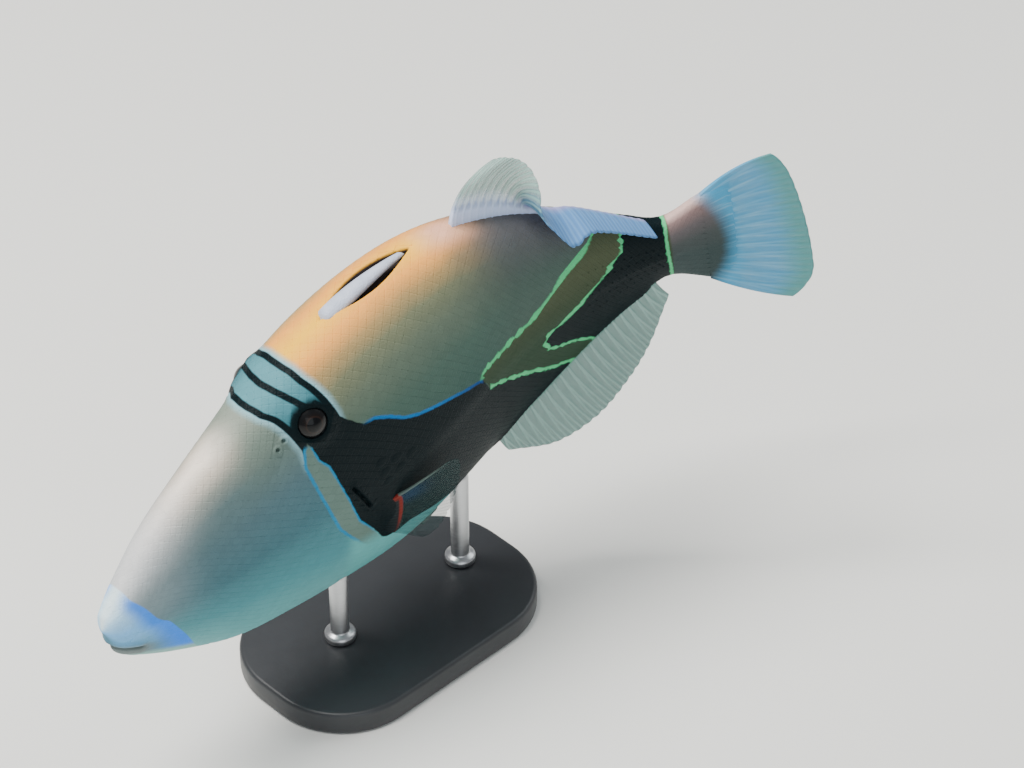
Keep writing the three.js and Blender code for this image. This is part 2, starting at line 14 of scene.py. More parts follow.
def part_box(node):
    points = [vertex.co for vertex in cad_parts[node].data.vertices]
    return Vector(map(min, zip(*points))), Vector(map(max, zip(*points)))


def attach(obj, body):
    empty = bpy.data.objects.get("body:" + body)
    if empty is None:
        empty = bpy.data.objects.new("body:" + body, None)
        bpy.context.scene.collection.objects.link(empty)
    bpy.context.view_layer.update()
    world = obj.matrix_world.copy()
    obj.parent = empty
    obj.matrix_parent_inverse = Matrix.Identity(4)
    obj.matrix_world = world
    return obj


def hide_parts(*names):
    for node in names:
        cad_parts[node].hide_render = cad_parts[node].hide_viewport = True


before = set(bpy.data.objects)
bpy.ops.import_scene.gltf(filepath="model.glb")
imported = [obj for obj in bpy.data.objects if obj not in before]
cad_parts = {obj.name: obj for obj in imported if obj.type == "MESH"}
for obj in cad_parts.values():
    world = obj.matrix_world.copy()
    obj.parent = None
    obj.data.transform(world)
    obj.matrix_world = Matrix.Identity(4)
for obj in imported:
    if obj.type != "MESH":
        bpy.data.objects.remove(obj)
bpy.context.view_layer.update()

MM = 0.001

# Pose, as in the solids
TAIL_SWING = math.radians(42.6)
SWING_FROM = 105
SWING_TO = 209
NOSE_DOWN = math.radians(11)

# Body: station, back line, belly line, half width, as in the solids; the last row is the skin
# thinning out over the root of the tail fin
STATIONS = np.array([
    (0, 3.5, -2.0, 2.0),
    (1.2, 5.0, -6.0, 3.1),
    (3.3, 6.8, -10.5, 4.2),
    (9, 11.7, -16.3, 5.7),
    (20, 19.9, -25.0, 7.5),
    (35, 26.8, -34.6, 9.7),
    (53, 33.5, -40.7, 12.7),
    (70, 39.8, -44.8, 16.3),
    (88, 42.6, -47.7, 17.8),
    (106, 43.1, -46.5, 16.8),
    (123, 40.7, -41.0, 14.3),
    (141, 34.3, -31.3, 11.0),
    (158, 25.2, -20.7, 7.6),
    (174, 15.3, -11.0, 4.6),
    (182, 12.6, -8.0, 3.6),
    (192, 18.0, -12.2, 2.4),
    (201, 21.6, -16.4, 0.35),
])
TAIL_END = 192
BACK_ROUNDNESS = 2.6
BELLY_ROUNDNESS = 1.3
WIDEST_ABOVE_MIDDLE = 0.1
# The skin is rounded off over the tip of the snout, and ends inside the tail fin
SNOUT_CAP = 1.8
TAIL_CAP = 1.5
SKIN_END = 201

# Eyes
EYE_STATION = 65
EYE_HEIGHT = 28.3
EYE_RADIUS = 5.6
EYE_PROUD = 2.2
LID_RADIUS = 3.8
LID_THICKNESS = 0.3
SOCKET_DEPTH = 2.6
# How far the lid stands out of the plain skin at each distance from the eye's axis
LID_FORM = ((4.2, 4.8, 5.6, 7.0, 8.6, 10.5), (1.15, 1.3, 1.05, 0.5, 0.15, 0))

# Mouth, gill slit, nostrils and the groove before the eye, with their heights and depths
MOUTH_FRONT_HEIGHT = -4.2
MOUTH_SLOPE = -0.7
MOUTH_CORNER = 8
LIP_APART = 1.5
LIP_FULLNESS = 0.5
MOUTH_DEPTH = 1.2
GILL_SLIT = ((69.4, 2.6), (73.6, -8.6))
GILL_RIM = 0.5
GILL_DEPTH = 1.5
NOSTRILS = ((57.2, 27.2), (55.0, 25.6))
NOSTRIL_RADIUS = 0.6
NOSTRIL_RIM = 0.35
NOSTRIL_DEPTH = 1.1
EYE_GROOVE = ((46.8, 16.0), (55.2, 23.0))
EYE_GROOVE_DEPTH = 0.22

# Swellings under the roots of the side fins and along the root of the second dorsal fin
SIDE_FIN_SWELLING = 1.0
DORSAL_SWELLING = 0.8

# Small bones: pelvic tip, hooks of the tail stem, and plates behind the gill slit
PELVIC_AT = 97
PELVIC_LENGTH = 6
HOOK_ROWS = 5
HOOKS_IN_ROW = 12
HOOKS_ALONG = (156, 181)
HOOKS_DOWN = (0.36, 0.68)
HOOK_HEIGHT = 0.7
HOOK_RADIUS = 0.36
HOOK_SUNK = 0.3
GILL_PLATES = ((78.5, 0.45), (79, 0.49), (79.5, 0.53), (83, 0.47), (83.5, 0.51), (87.5, 0.49))
GILL_PLATE_RADIUS = 1.9
GILL_PLATE_RISE = 0.24

# Trigger spines and their groove
GROOVE_FROM = 82
GROOVE_TO = 113
GROOVE_DEPTH = 3.2
GROOVE_HALF_WIDTH = 4.1

# Fins
DORSAL_FROM, DORSAL_TO = 125, 176
# Share along the fin, then how far the ray's tip is back, up and to the left of its root
DORSAL_RAYS = np.array([
    (0, 16.1, 11.7, -1.8),
    (0.1, 13.1, 15.6, 1.7),
    (0.2, 11.2, 16.1, 3.7),
    (0.28, 8.5, 15.5, 6.8),
    (0.34, 4.8, 13.6, 10.8),
    (0.4, -0.3, 10.2, 14.2),
    (0.46, -1.1, 6.6, 16.2),
    (0.53, -0.6, 2.7, 17.8),
    (0.61, 1.5, 4.1, 14.9),
    (0.72, 1.6, 3.3, 12.3),
    (0.85, 2.2, 1.5, 9.8),
    (1, 2.6, -1.4, 6.6),
])
# How far the rays arch over to the side, curl, and bow forward
DORSAL_SWEEP = (0.85, 1.7, 0.7)
DORSAL_SUNK = 1.5
ANAL_FROM, ANAL_TO = 126, 177
ANAL_RAYS = np.array([
    (0, 3, -7, -0.5),
    (0.2, 5.5, -15.3, 3),
    (0.4, 7.5, -16.2, 5.5),
    (0.6, 7.5, -13.7, 6),
    (0.8, 6, -11, 4),
    (1, 3.5, -5.5, 0),
])
ANAL_SWEEP = (0.35, 1.4, 0.25)
ANAL_SUNK = -1.5
DORSAL_RAY_COUNT = 24
ANAL_RAY_COUNT = 21
CAUDAL_RAY_COUNT = 12
PECTORAL_RAY_COUNT = 13
CAUDAL_TOP = 28.2
CAUDAL_BOTTOM = -24.3
CAUDAL_REAR = 219.3
CAUDAL_FULLEST = -13
CAUDAL_CUT_BACK = 5.5
CAUDAL_CORNER = (0.8, 2.4)
CAUDAL_FAN_BOW = 13
# Station, height, slope and length of the first and the last ray of a side fin
PECTORAL_TOP = np.array((79, -12.3, math.radians(14), 24))
PECTORAL_BOTTOM = np.array((79.5, -27.5, math.radians(-36), 13.5))
PECTORAL_THINNER = 0.55
FIN_ROOT_HALF = 1.1
FIN_MARGIN_HALF = 0.16

# Markings. The patch on the snout and the stripes by the eye are rows of turn round the skin and
# station; the others are outlines in station and height, seen straight from the side
SNOUT_PATCH = np.array([
    (0, 7.6), (0.3, 7.7), (0.78, 8.2), (1.42, 11.3), (2.14, 17.0), (2.46, 19.9), (3.1, 24.3),
])
FRONT_STRIPE = ((0.05, 55.4), (0.31, 56.2), (0.49, 57.9), (0.66, 59.0), (0.83, 60.0), (1.0, 61.0))
MIDDLE_STRIPE = ((0.01, 61.4), (0.21, 62.0), (0.41, 63.2), (0.59, 64.7), (0.79, 67.4))
REAR_STRIPE = ((0.07, 67.3), (0.18, 67.6), (0.37, 67.9), (0.56, 69.0), (0.72, 69.8), (0.95, 70.6))
FRONT_OF_COLLAR = [
    (61.6, 24.6), (60.4, 22), (59.4, 17.2), (60.3, 10.4), (61.2, 4.4),
    (62.4, -2.5), (64.6, -11), (67.1, -16.3), (70.8, -23.5), (74, -29),
]
FRONT_OF_BAND = [
    (62.4, 22.6), (63.2, 17.3), (65.1, 14), (66.3, 7.3), (67.2, 2.1),
    (68.4, -4), (70.6, -12.6), (73.4, -18), (75.9, -23.5), (78.4, -29.6), (80.4, -32),
]
TOP_OF_BAND = [
    (116.3, 2.6), (108.8, 4.8), (102.9, 6.9), (97, 9.1), (92.1, 11), (88.1, 13.3), (84.2, 16.9),
    (80.2, 19.6), (76.9, 20.1), (74.9, 22.2), (72.1, 25.8), (70.3, 30), (68, 33.4), (63, 31), (60.8, 26.5),
]
UNDER_BAND = [
    (84.5, -33.4), (88.5, -33), (92.5, -35), (98.7, -38.6), (105.6, -42), (109.5, -49),
    (112, -80), (170, -80),
]
LOWER_GREEN = [
    (154, -27), (149, -22.9), (144.5, -20.5), (138.7, -15.4), (132.5, -10.7), (125.6, -6.4), (118.6, -2.9),
]
OUTER_GREEN = [
    (115.6, 3.6), (117.8, 5.1), (122.2, 5.6), (128.6, 6.7), (132.7, 7.2), (136.2, 7.4), (141.8, 9.3),
    (146.2, 11.5), (149.2, 13.9), (153.1, 15.7), (157.5, 17.4), (162, 20.5), (172, 33),
]
WEDGE = [
    (173, 28), (169.2, 16), (168.3, 10.9), (165.1, 8.7), (162.9, 6.6), (159.3, 4.5), (156.6, 3.3),
    (154, 1.1), (150.5, -0.3), (146.9, -1.6), (142.4, -2.2), (141, -5), (142.4, -8.9), (146.7, -11.8),
    (150.9, -13.8), (155.5, -17.3), (160, -22), (165, -40), (183, -40), (182, -5.9), (181.3, 2.2),
    (181.3, 8.9), (181.7, 12.5), (183, 40),
]
COLLAR = FRONT_OF_COLLAR + FRONT_OF_BAND[::-1]
BAND = FRONT_OF_BAND + UNDER_BAND + LOWER_GREEN + TOP_OF_BAND
OLIVE = OUTER_GREEN + [(230, 33), (230, -60), (160, -60)] + LOWER_GREEN

rng = np.random.default_rng(7)


def lerp(a, b, t):
    return a + (b - a) * t


def ease(t):
    t = np.clip(t, 0, 1)
    return t * t * (3 - 2 * t)


def bump(distance, width):
    return np.exp(-(distance / width) ** 2)


def along(table, column, x):
    """Smooth value of one column of a table at x, through every row."""
    at, value = table[:, 0], table[:, column]
    rows = np.arange(len(at))
    before, after = np.maximum(rows - 1, 0), np.minimum(rows + 1, len(at) - 1)
    slope = (value[after] - value[before]) / (at[after] - at[before])
    i = np.clip(np.searchsorted(at, x) - 1, 0, len(at) - 2)
    span = at[i + 1] - at[i]
    t = np.clip((x - at[i]) / span, 0, 1)
    leave = t * (1 - t) ** 2 * slope[i] * span
    arrive = t ** 2 * (1 - t) * slope[i + 1] * span
    return lerp(value[i], value[i + 1], ease(t)) + leave - arrive


def back_line(x):
    return along(STATIONS, 1, x)


def belly_line(x):
    return along(STATIONS, 2, x)


def half_width(x):
    return along(STATIONS, 3, x)


def section_centre(x):
    back, belly = back_line(x), belly_line(x)
    return (back + belly) / 2 + WIDEST_ABOVE_MIDDLE * (back - belly) / 2


def flank(x, z):
    """Half width of the body at station x and height z."""
    centre = section_centre(x)
    reach = np.where(z > centre, back_line(x) - centre, centre - belly_line(x))
    power = np.where(z > centre, BACK_ROUNDNESS, BELLY_ROUNDNESS)
    share = np.clip(np.abs(z - centre) / reach, 0, 1)
    return half_width(x) * (1 - share ** power) ** (1 / power)


def section(x, turn):
    """Half width and height of the skin; turn runs from 0 on the back to pi on the keel."""
    centre = section_centre(x)
    reach = np.where(turn < np.pi / 2, back_line(x) - centre, centre - belly_line(x))
    power = lerp(BACK_ROUNDNESS, BELLY_ROUNDNESS, ease((turn / np.pi - 0.36) / 0.26))
    snout = np.clip(x / SNOUT_CAP, 0, 1)
    tail = np.clip((x - SKIN_END + TAIL_CAP) / TAIL_CAP, 0, 1)
    cap = np.sqrt(1 - (1 - snout) ** 2) * np.sqrt(1 - tail ** 2)
    y = cap * half_width(x) * np.abs(np.sin(turn)) ** (2 / power)
    up = np.cos(turn)
    return y, centre + cap * reach * np.sign(up) * np.abs(up) ** (2 / power)


# Lengths round the skin, so that places on it can be given by their share of the way round
TABLE_X = np.linspace(0.02, SKIN_END - 0.02, 391)
TABLE_SHARE = np.linspace(0, 1, 201)
TABLE_TURN = np.linspace(0, np.pi, 361)


def measure_rounds():
    y, z = section(TABLE_X[:, None], TABLE_TURN[None, :])
    steps = np.hypot(np.diff(y, axis=1), np.diff(z, axis=1))
    round_to = np.concatenate([np.zeros((len(TABLE_X), 1)), np.cumsum(steps, axis=1)], axis=1)
    turns = np.array([np.interp(TABLE_SHARE, row / row[-1], TABLE_TURN) for row in round_to])
    return turns, round_to[:, -1]


TURN_AT, HALF_GIRTH = measure_rounds()


def turn_at(x, share):
    row = np.interp(x, TABLE_X, np.arange(len(TABLE_X)))
    column = np.clip(share, 0, 1) * (len(TABLE_SHARE) - 1)
    i = np.minimum(row.astype(int), len(TABLE_X) - 2)
    j = np.minimum(column.astype(int), len(TABLE_SHARE) - 2)
    a, b = row - i, column - j
    upper = lerp(TURN_AT[i, j], TURN_AT[i, j + 1], b)
    lower = lerp(TURN_AT[i + 1, j], TURN_AT[i + 1, j + 1], b)
    return lerp(upper, lower, a)


def on_body(x, around):
    """A point of the plain skin; around runs from 0 on the back to 1 or -1 on the keel."""
    x, around = np.broadcast_arrays(np.clip(x, 0, SKIN_END), around)
    share = np.abs(around)
    side = np.where(share > 1, -1, 1) * np.where(around < 0, -1, 1)
    y, z = section(x, turn_at(x, np.where(share > 1, 2 - share, share)))
    return np.stack([x, side * y, z], axis=-1)


def facing(surface, x, around):
    """Outward direction of a surface over station and way round."""
    backward = surface(x + 0.25, around) - surface(x - 0.25, around)
    downward = surface(x, around + 0.004) - surface(x, around - 0.004)
    normal = np.cross(backward, downward)
    length = np.linalg.norm(normal, axis=-1, keepdims=True)
    return np.where(length > 1e-9, normal / np.maximum(length, 1e-9), (-1, 0, 0))


def outward(x, z):
    step = 0.5
    slope_x = (flank(x + step, z) - flank(x - step, z)) / (2 * step)
    slope_z = (flank(x, z + step) - flank(x, z - step)) / (2 * step)
    normal = np.array((-slope_x, 1, -slope_z))
    return normal / np.linalg.norm(normal)


def on_flank(x, z):
    return np.array((x, flank(x, z), z))


EYE_AXIS = outward(EYE_STATION, EYE_HEIGHT)
EYE_CENTRE = on_flank(EYE_STATION, EYE_HEIGHT) + EYE_AXIS * (EYE_PROUD - EYE_RADIUS)


def from_eye(point):
    """Distance from the axis of the eye on the same side."""
    away = point * (1, 0, 1) + np.abs(point) * (0, 1, 0) - EYE_CENTRE
    return np.linalg.norm(away - (away @ EYE_AXIS)[..., None] * EYE_AXIS, axis=-1)


def from_line(x, z, start, end):
    """Distance from a short straight line on the flank."""
    dx, dz = end[0] - start[0], end[1] - start[1]
    t = np.clip(((x - start[0]) * dx + (z - start[1]) * dz) / (dx * dx + dz * dz), 0, 1)
    return np.hypot(x - start[0] - t * dx, z - start[1] - t * dz)


def from_nostrils(x, z):
    """Distance from the middle of the nearer nostril."""
    return np.min([np.hypot(x - at_x, z - at_z) for at_x, at_z in NOSTRILS], axis=0)


def from_mouth(x, z):
    """Distance over the line of the mouth, negative under it."""
    return (z - MOUTH_FRONT_HEIGHT - MOUTH_SLOPE * x) / math.hypot(1, MOUTH_SLOPE)


def relief(point):
    """Height of the head's and the fin roots' forms over the plain skin."""
    x, y, z = np.moveaxis(point, -1, 0)
    eye = from_eye(point)
    height = np.where(eye < LID_RADIUS, -SOCKET_DEPTH, np.interp(eye, *LID_FORM))
    for nostril in NOSTRILS:
        off = np.linalg.norm(point * (1, 0, 1) + np.abs(point) * (0, 1, 0) - on_flank(*nostril), axis=-1)
        height += NOSTRIL_RIM * bump(off - 1.3 * NOSTRIL_RADIUS, 0.4)
        height -= NOSTRIL_DEPTH * bump(off, 0.75 * NOSTRIL_RADIUS)
    height -= EYE_GROOVE_DEPTH * bump(from_line(x, z, *EYE_GROOVE), 1.3)
    slit = from_line(x, z, *GILL_SLIT)
    height += GILL_RIM * bump(slit, 1.5) - GILL_DEPTH * bump(slit, 0.45)
    mouth = from_mouth(x, z)
    lips = LIP_FULLNESS * (bump(mouth - LIP_APART, 0.9) + bump(mouth + LIP_APART, 1.6))
    lips -= MOUTH_DEPTH * bump(mouth, 0.34)
    height += lips * (1 - ease((x - MOUTH_CORNER + 1.5) / 2.5))
    height += SIDE_FIN_SWELLING * bump(x - 80.5 + 0.25 * (z + 17), 3) * bump(z + 17, 8)
    finned = ease((x - DORSAL_FROM + 4) / 6) * (1 - ease((x - DORSAL_TO + 3) / 5))
    return height + DORSAL_SWELLING * finned * bump(y, 1.5)


def surface(x, around):
    """A point of the skin with its forms: lids, lips, nostrils, slits and the spines' groove."""
    plain = on_body(x, around)
    point = plain + facing(on_body, x, around) * relief(plain)[..., None]
    axis = np.where(point[..., 1:2] < 0, -1, 1) * (0, 1, 0) + np.array((1, 0, 1))
    from_centre = point - EYE_CENTRE * axis
    reach = np.linalg.norm(from_centre, axis=-1, keepdims=True)
    over_ball = EYE_RADIUS + LID_THICKNESS
    covers = (reach < over_ball) & (from_eye(plain)[..., None] >= LID_RADIUS)
    point = np.where(covers, EYE_CENTRE * axis + from_centre / reach * over_ball, point)
    point[..., 2] -= GROOVE_DEPTH * in_groove(plain)
    return point


def in_groove(plain):
    """1 on the floor of the long oval groove of the trigger spines, 0 outside it."""
    x, y, z = np.moveaxis(plain, -1, 0)
    along_it = np.clip((x - GROOVE_FROM) / (GROOVE_TO - GROOVE_FROM), 0, 1)
    half = GROOVE_HALF_WIDTH * np.sin(np.pi * along_it) ** 0.85
    return (1 - ease((np.abs(y) - half + 1.3) / 1.4)) * (z > section_centre(x)) * (half > 0)


def swing(point):
    x, y, z = np.moveaxis(point, -1, 0)
    length = SWING_TO - SWING_FROM
    bend = -TAIL_SWING / length
    angle = bend * np.clip(x - SWING_FROM, 0, length)
    beyond = np.maximum(x - SWING_TO, 0)
    spine_x = np.minimum(x, SWING_FROM) + np.sin(angle) / bend + np.cos(angle) * beyond
    spine_y = (1 - np.cos(angle)) / bend + np.sin(angle) * beyond
    return np.stack([spine_x - np.sin(angle) * y, spine_y + np.cos(angle) * y, z], axis=-1)


def tilt(point):
    x, y, z = np.moveaxis(point, -1, 0)
    tilted_x = x * math.cos(NOSE_DOWN) - z * math.sin(NOSE_DOWN)
    return np.stack([tilted_x, y, x * math.sin(NOSE_DOWN) + z * math.cos(NOSE_DOWN)], axis=-1)


def box_middle(node):
    low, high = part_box(node)
    return np.array((low + high) / 2) / MM


# The eyes of the solids say where the fish hangs over its stand
eyes_between = (box_middle("eye_left") + box_middle("eye_right")) / 2
HANGS_AT = eyes_between - tilt(EYE_CENTRE * (1, 0, 1))


def pose(point):
    """From the straight fish to its place on the stand, in metres."""
    return (tilt(swing(point)) + HANGS_AT) * MM


def to_outline(x, z, outline):
    """Distance to a closed outline, positive inside it."""
    inside = np.zeros(np.shape(x), bool)
    nearest = np.full(np.shape(x), np.inf)
    for start, end in zip(outline, outline[1:] + outline[:1]):
        nearest = np.minimum(nearest, from_line(x, z, start, end))
        (x0, z0), (x1, z1) = start, end
        if z1 != z0:
            inside ^= ((z0 > z) != (z1 > z)) & (x < x0 + (z - z0) * (x1 - x0) / (z1 - z0))
    return np.where(inside, nearest, -nearest)


def marks(x, around):
    """What the skin's colours follow: the place on the fish, and distances to marks and forms.

    The place is the station, the height and the share of the way down from the back.
    """
    share = np.clip(np.abs(around), 0, 1)
    point = on_body(x, share)
    z = point[..., 2]
    turn = turn_at(x, share)
    patch = along(SNOUT_PATCH, 1, turn) - x
    stripes = [x - np.interp(turn, *zip(*stripe)) for stripe in (FRONT_STRIPE, MIDDLE_STRIPE, REAR_STRIPE)]
    return {
        "place": np.stack([x, z, share], axis=-1),
        "face_marks": np.stack([patch, to_outline(x, z, COLLAR), to_outline(x, z, BAND)], axis=-1),
        "eye_marks": np.stack(stripes, axis=-1),
        "rear_marks": np.stack([to_outline(x, z, OLIVE), to_outline(x, z, WEDGE), from_eye(point)], axis=-1),
        "groove": in_groove(point),
        "mouth": from_mouth(x, z),
    }


def piece(name, bm, finish, nodes=(), attributes=None):
    """Makes a shown piece of a bmesh that is already in its place."""
    mesh = bpy.data.meshes.new(name)
    bm.to_mesh(mesh)
    bm.free()
    for polygon in mesh.polygons:
        polygon.use_smooth = True
    return show(name, mesh, finish, nodes, attributes)


def show(name, mesh, finish, nodes=(), attributes=None):
    """Puts a mesh in the scene as a piece, in the place of the solids that it is given."""
    for key, values in (attributes or {}).items():
        write(mesh, key, values)
    mesh.materials.append(finish)
    made = bpy.data.objects.new(name, mesh)
    bpy.context.scene.collection.objects.link(made)
    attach(made, "root")
    if nodes:
        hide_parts(*nodes)
    return made


def write(mesh, key, values):
    """Gives a mesh a number or a vector at each of its corners."""
    kind = "FLOAT_VECTOR" if np.ndim(values) == 2 else "FLOAT"
    attribute = mesh.attributes.new(key, kind, "POINT")
    field = "vector" if np.ndim(values) == 2 else "value"
    attribute.data.foreach_set(field, np.ascontiguousarray(values, dtype=np.float32).ravel())


def coordinates(bm):
    return np.array([vert.co for vert in bm.verts])


def move(bm, points):
    for vert, point in zip(bm.verts, points):
        vert.co = point


def lay(bm, points):
    """Moves a closed bmesh's corners to points of the straight fish, and then to the pose."""
    move(bm, pose(points))
    bmesh.ops.recalc_face_normals(bm, faces=bm.faces)
    return bm


# Materials


def rgb(red, green, blue):
    """A colour given as 0 to 255 on a screen, as the shader wants it."""
    linear = [((c / 255 + 0.055) / 1.055) ** 2.4 for c in (red, green, blue)]
    return (*linear, 1)


class Value:
    """A socket of a material's nodes; arithmetic on it adds Math nodes."""

    def __init__(self, finish, socket):
        self.finish = finish
        self.socket = socket

    def __add__(self, other):
        return self.finish.math("ADD", self, other)

    def __sub__(self, other):
        return self.finish.math("SUBTRACT", self, other)

    def __rsub__(self, other):
        return self.finish.math("SUBTRACT", other, self)

    def __mul__(self, other):
        return self.finish.math("MULTIPLY", self, other)

    def __truediv__(self, other):
        return self.finish.math("DIVIDE", self, other)

    def __abs__(self):
        return self.finish.math("ABSOLUTE", self)

    __radd__ = __add__
    __rmul__ = __mul__


class Finish:
    """One material while it is being made."""

    def __init__(self, name):
        self.material = bpy.data.materials.new(name)
        self.material.use_nodes = True
        self.tree = self.material.node_tree
        self.tree.nodes.clear()

    def node(self, kind, settings, inputs, output=0):
        made = self.tree.nodes.new(kind)
        for key, value in settings.items():
            setattr(made, key, value)
        for key, value in inputs.items():
            if isinstance(value, Value):
                self.tree.links.new(value.socket, made.inputs[key])
            else:
                made.inputs[key].default_value = value
        return Value(self, made.outputs[output])

    def math(self, operation, *values):
        return self.node("ShaderNodeMath", {"operation": operation}, dict(enumerate(values)))

    def step(self, value, low, high):
        """Eases from 0 where value is low to 1 where it is high."""
        inputs = {"Value": value, "From Min": low, "From Max": high}
        return self.node("ShaderNodeMapRange", {"interpolation_type": "SMOOTHSTEP"}, inputs)

    def line(self, distance, half, soft):
        """1 along a line of the given half width, 0 away from it."""
        return 1 - self.step(abs(distance), half - soft, half + soft)

    def mix(self, below, above, share):
        settings = {"data_type": "RGBA", "clamp_factor": True}
        return self.node("ShaderNodeMix", settings, {0: share, 6: below, 7: above}, 2)

    def ramp(self, value, stops):
        """Colours along a value; a stop is its value and its red, green and blue."""
        colour = rgb(*stops[0][1])
        for (start, _), (end, after) in zip(stops, stops[1:]):
            inputs = {"Value": value, "From Min": start, "From Max": end}
            share = self.node("ShaderNodeMapRange", {}, inputs)
            colour = self.mix(colour, rgb(*after), share)
        return colour

    def shade(self, colour, share):
        """Multiplies a colour by a grey share."""
        grey = self.node("ShaderNodeCombineColor", {}, {0: share, 1: share, 2: share})
        settings = {"data_type": "RGBA", "blend_type": "MULTIPLY"}
        return self.node("ShaderNodeMix", settings, {0: 1.0, 6: colour, 7: grey}, 2)

    def parts(self, attribute):
        """The three numbers of a vector attribute."""
        vector = self.node("ShaderNodeAttribute", {"attribute_name": attribute}, {}, 1)
        return [self.node("ShaderNodeSeparateXYZ", {}, {0: vector}, part) for part in range(3)]

    def number(self, attribute):
        """The number of a plain attribute."""
        return self.node("ShaderNodeAttribute", {"attribute_name": attribute}, {}, 2)

    def in_object(self):
        return self.node("ShaderNodeTexCoord", {}, {}, 3)

    def noise(self, scale, detail=2.0):
        """Noise over the object, scale in lumps to the metre."""
        inputs = {"Vector": self.in_object(), "Scale": scale, "Detail": detail}
        return self.node("ShaderNodeTexNoise", {}, inputs)

    def cells(self, scale):
        """Distance from the middle of the nearest cell, scale in cells to the metre."""
        return self.node("ShaderNodeTexVoronoi", {}, {"Vector": self.in_object(), "Scale": scale})

    def bumped(self, height, depth):
        """Normal over a height of 0 to 1 that stands for depth millimetres."""
        return self.node("ShaderNodeBump", {}, {"Height": height, "Distance": depth * MM})

    def done(self, **sockets):
        """Ends the material with one shader, its sockets named with _ for a space."""
        shader = self.node("ShaderNodeBsdfPrincipled", {}, {
            key.replace("_", " "): value for key, value in sockets.items()
        })
        out = self.tree.nodes.new("ShaderNodeOutputMaterial")
        self.tree.links.new(shader.socket, out.inputs[0])
        return self.material


# Colours of the skin; a ramp's stops are shares of the way down from the back. The head's and the flank's
# ramps hold the fish's own colours together with painted light from above: paler on top, darker down the
# sides
FACE_COLOURS_AND_TOP_LIGHT = (
    (0.01, (240, 228, 214)), (0.06, (196, 186, 172)), (0.11, (140, 146, 138)), (0.18, (98, 120, 122)),
    (0.32, (82, 112, 120)), (0.5, (68, 110, 120)), (0.72, (80, 140, 148)), (0.95, (110, 172, 174)),
)
SNOUT_PALE = (164, 176, 180)
# Top of the forehead: its own pale colour with painted light from above
FOREHEAD_PALE_AND_TOP_LIGHT = (214, 216, 220)
FOREHEAD_DULL = (104, 122, 112)
# Flank down from the back: its own orange, tan and olive, with a painted highlight along the top and painted
# shade down the sides
FLANK_COLOURS_AND_TOP_LIGHT = (
    (0.005, (255, 192, 44)), (0.055, (240, 162, 72)), (0.1, (168, 138, 90)), (0.15, (120, 124, 98)),
    (0.22, (102, 116, 100)), (0.32, (74, 100, 90)), (0.45, (60, 90, 82)),
)
DORSAL_PINK = (232, 176, 156)
# Painted shade on the back under the root of the second dorsal fin
DORSAL_ROOT_SHADE = (92, 92, 94)
REAR_GREY = (74, 94, 86)
CHEST_PALE = (104, 176, 176)
TEAL_PALE = (84, 140, 150)
TEAL = (30, 84, 96)
BAR_EDGE = (134, 178, 188)
STRIPE_HALF = 0.8
BLACK = (0, 19, 23)
COLLAR_GREY = (100, 124, 116)
COLLAR_BLUE = (30, 132, 176)
OLIVE_BROWN = (76, 84, 62)
OLIVE_GREEN = (42, 64, 46)
BAND_BLUE = (24, 112, 180)
BAND_BLUE_REAR = (10, 70, 134)
GREEN = (80, 196, 130)
TAIL_BASE_COLOURS = (
    (0.02, (208, 176, 168)), (0.1, (138, 114, 112)), (0.24, (100, 94, 96)), (0.4, (74, 80, 80)),
    (0.6, (58, 72, 72)),
)
# Snout patch down from its top: its own bluish white, with a painted highlight at the top and painted shade
# underneath
SNOUT_COLOURS_AND_HIGHLIGHT = (
    (0.03, (226, 248, 255)), (0.2, (176, 222, 255)), (0.42, (132, 196, 248)), (0.6, (112, 172, 214)),
    (0.8, (92, 138, 160)),
)
SNOUT_BLUE = (34, 130, 248)
# Painted shade along the mouth and under the upper lip
MOUTH_SHADE = (112, 124, 124)
CHIN_PALE = (140, 182, 176)
GROOVE_DARK = (58, 52, 52)

# Colours of fins and eyes
FIN_MEMBRANE = (88, 140, 132)
FIN_RAY = (160, 194, 186)
DORSAL_BASE = (206, 222, 255)
DORSAL_FOLD = (150, 148, 198)
DORSAL_REAR = (86, 134, 188)
ANAL_BASE = (80, 126, 116)
PECTORAL_MEMBRANE = (28, 60, 60)
PECTORAL_RED = (116, 26, 15)
PECTORAL_RAY = (100, 118, 112)
PECTORAL_SHEEN = (24, 62, 92)
CAUDAL_BLUE = (70, 158, 202)
CAUDAL_MARGIN = (84, 156, 156)
CAUDAL_RAY = (178, 216, 232)
IRIS_BROWN = (17, 12, 11)
IRIS_DARK = (10, 11, 13)
IRIS_RIM = (32, 21, 17)
PUPIL = (4, 6, 9)


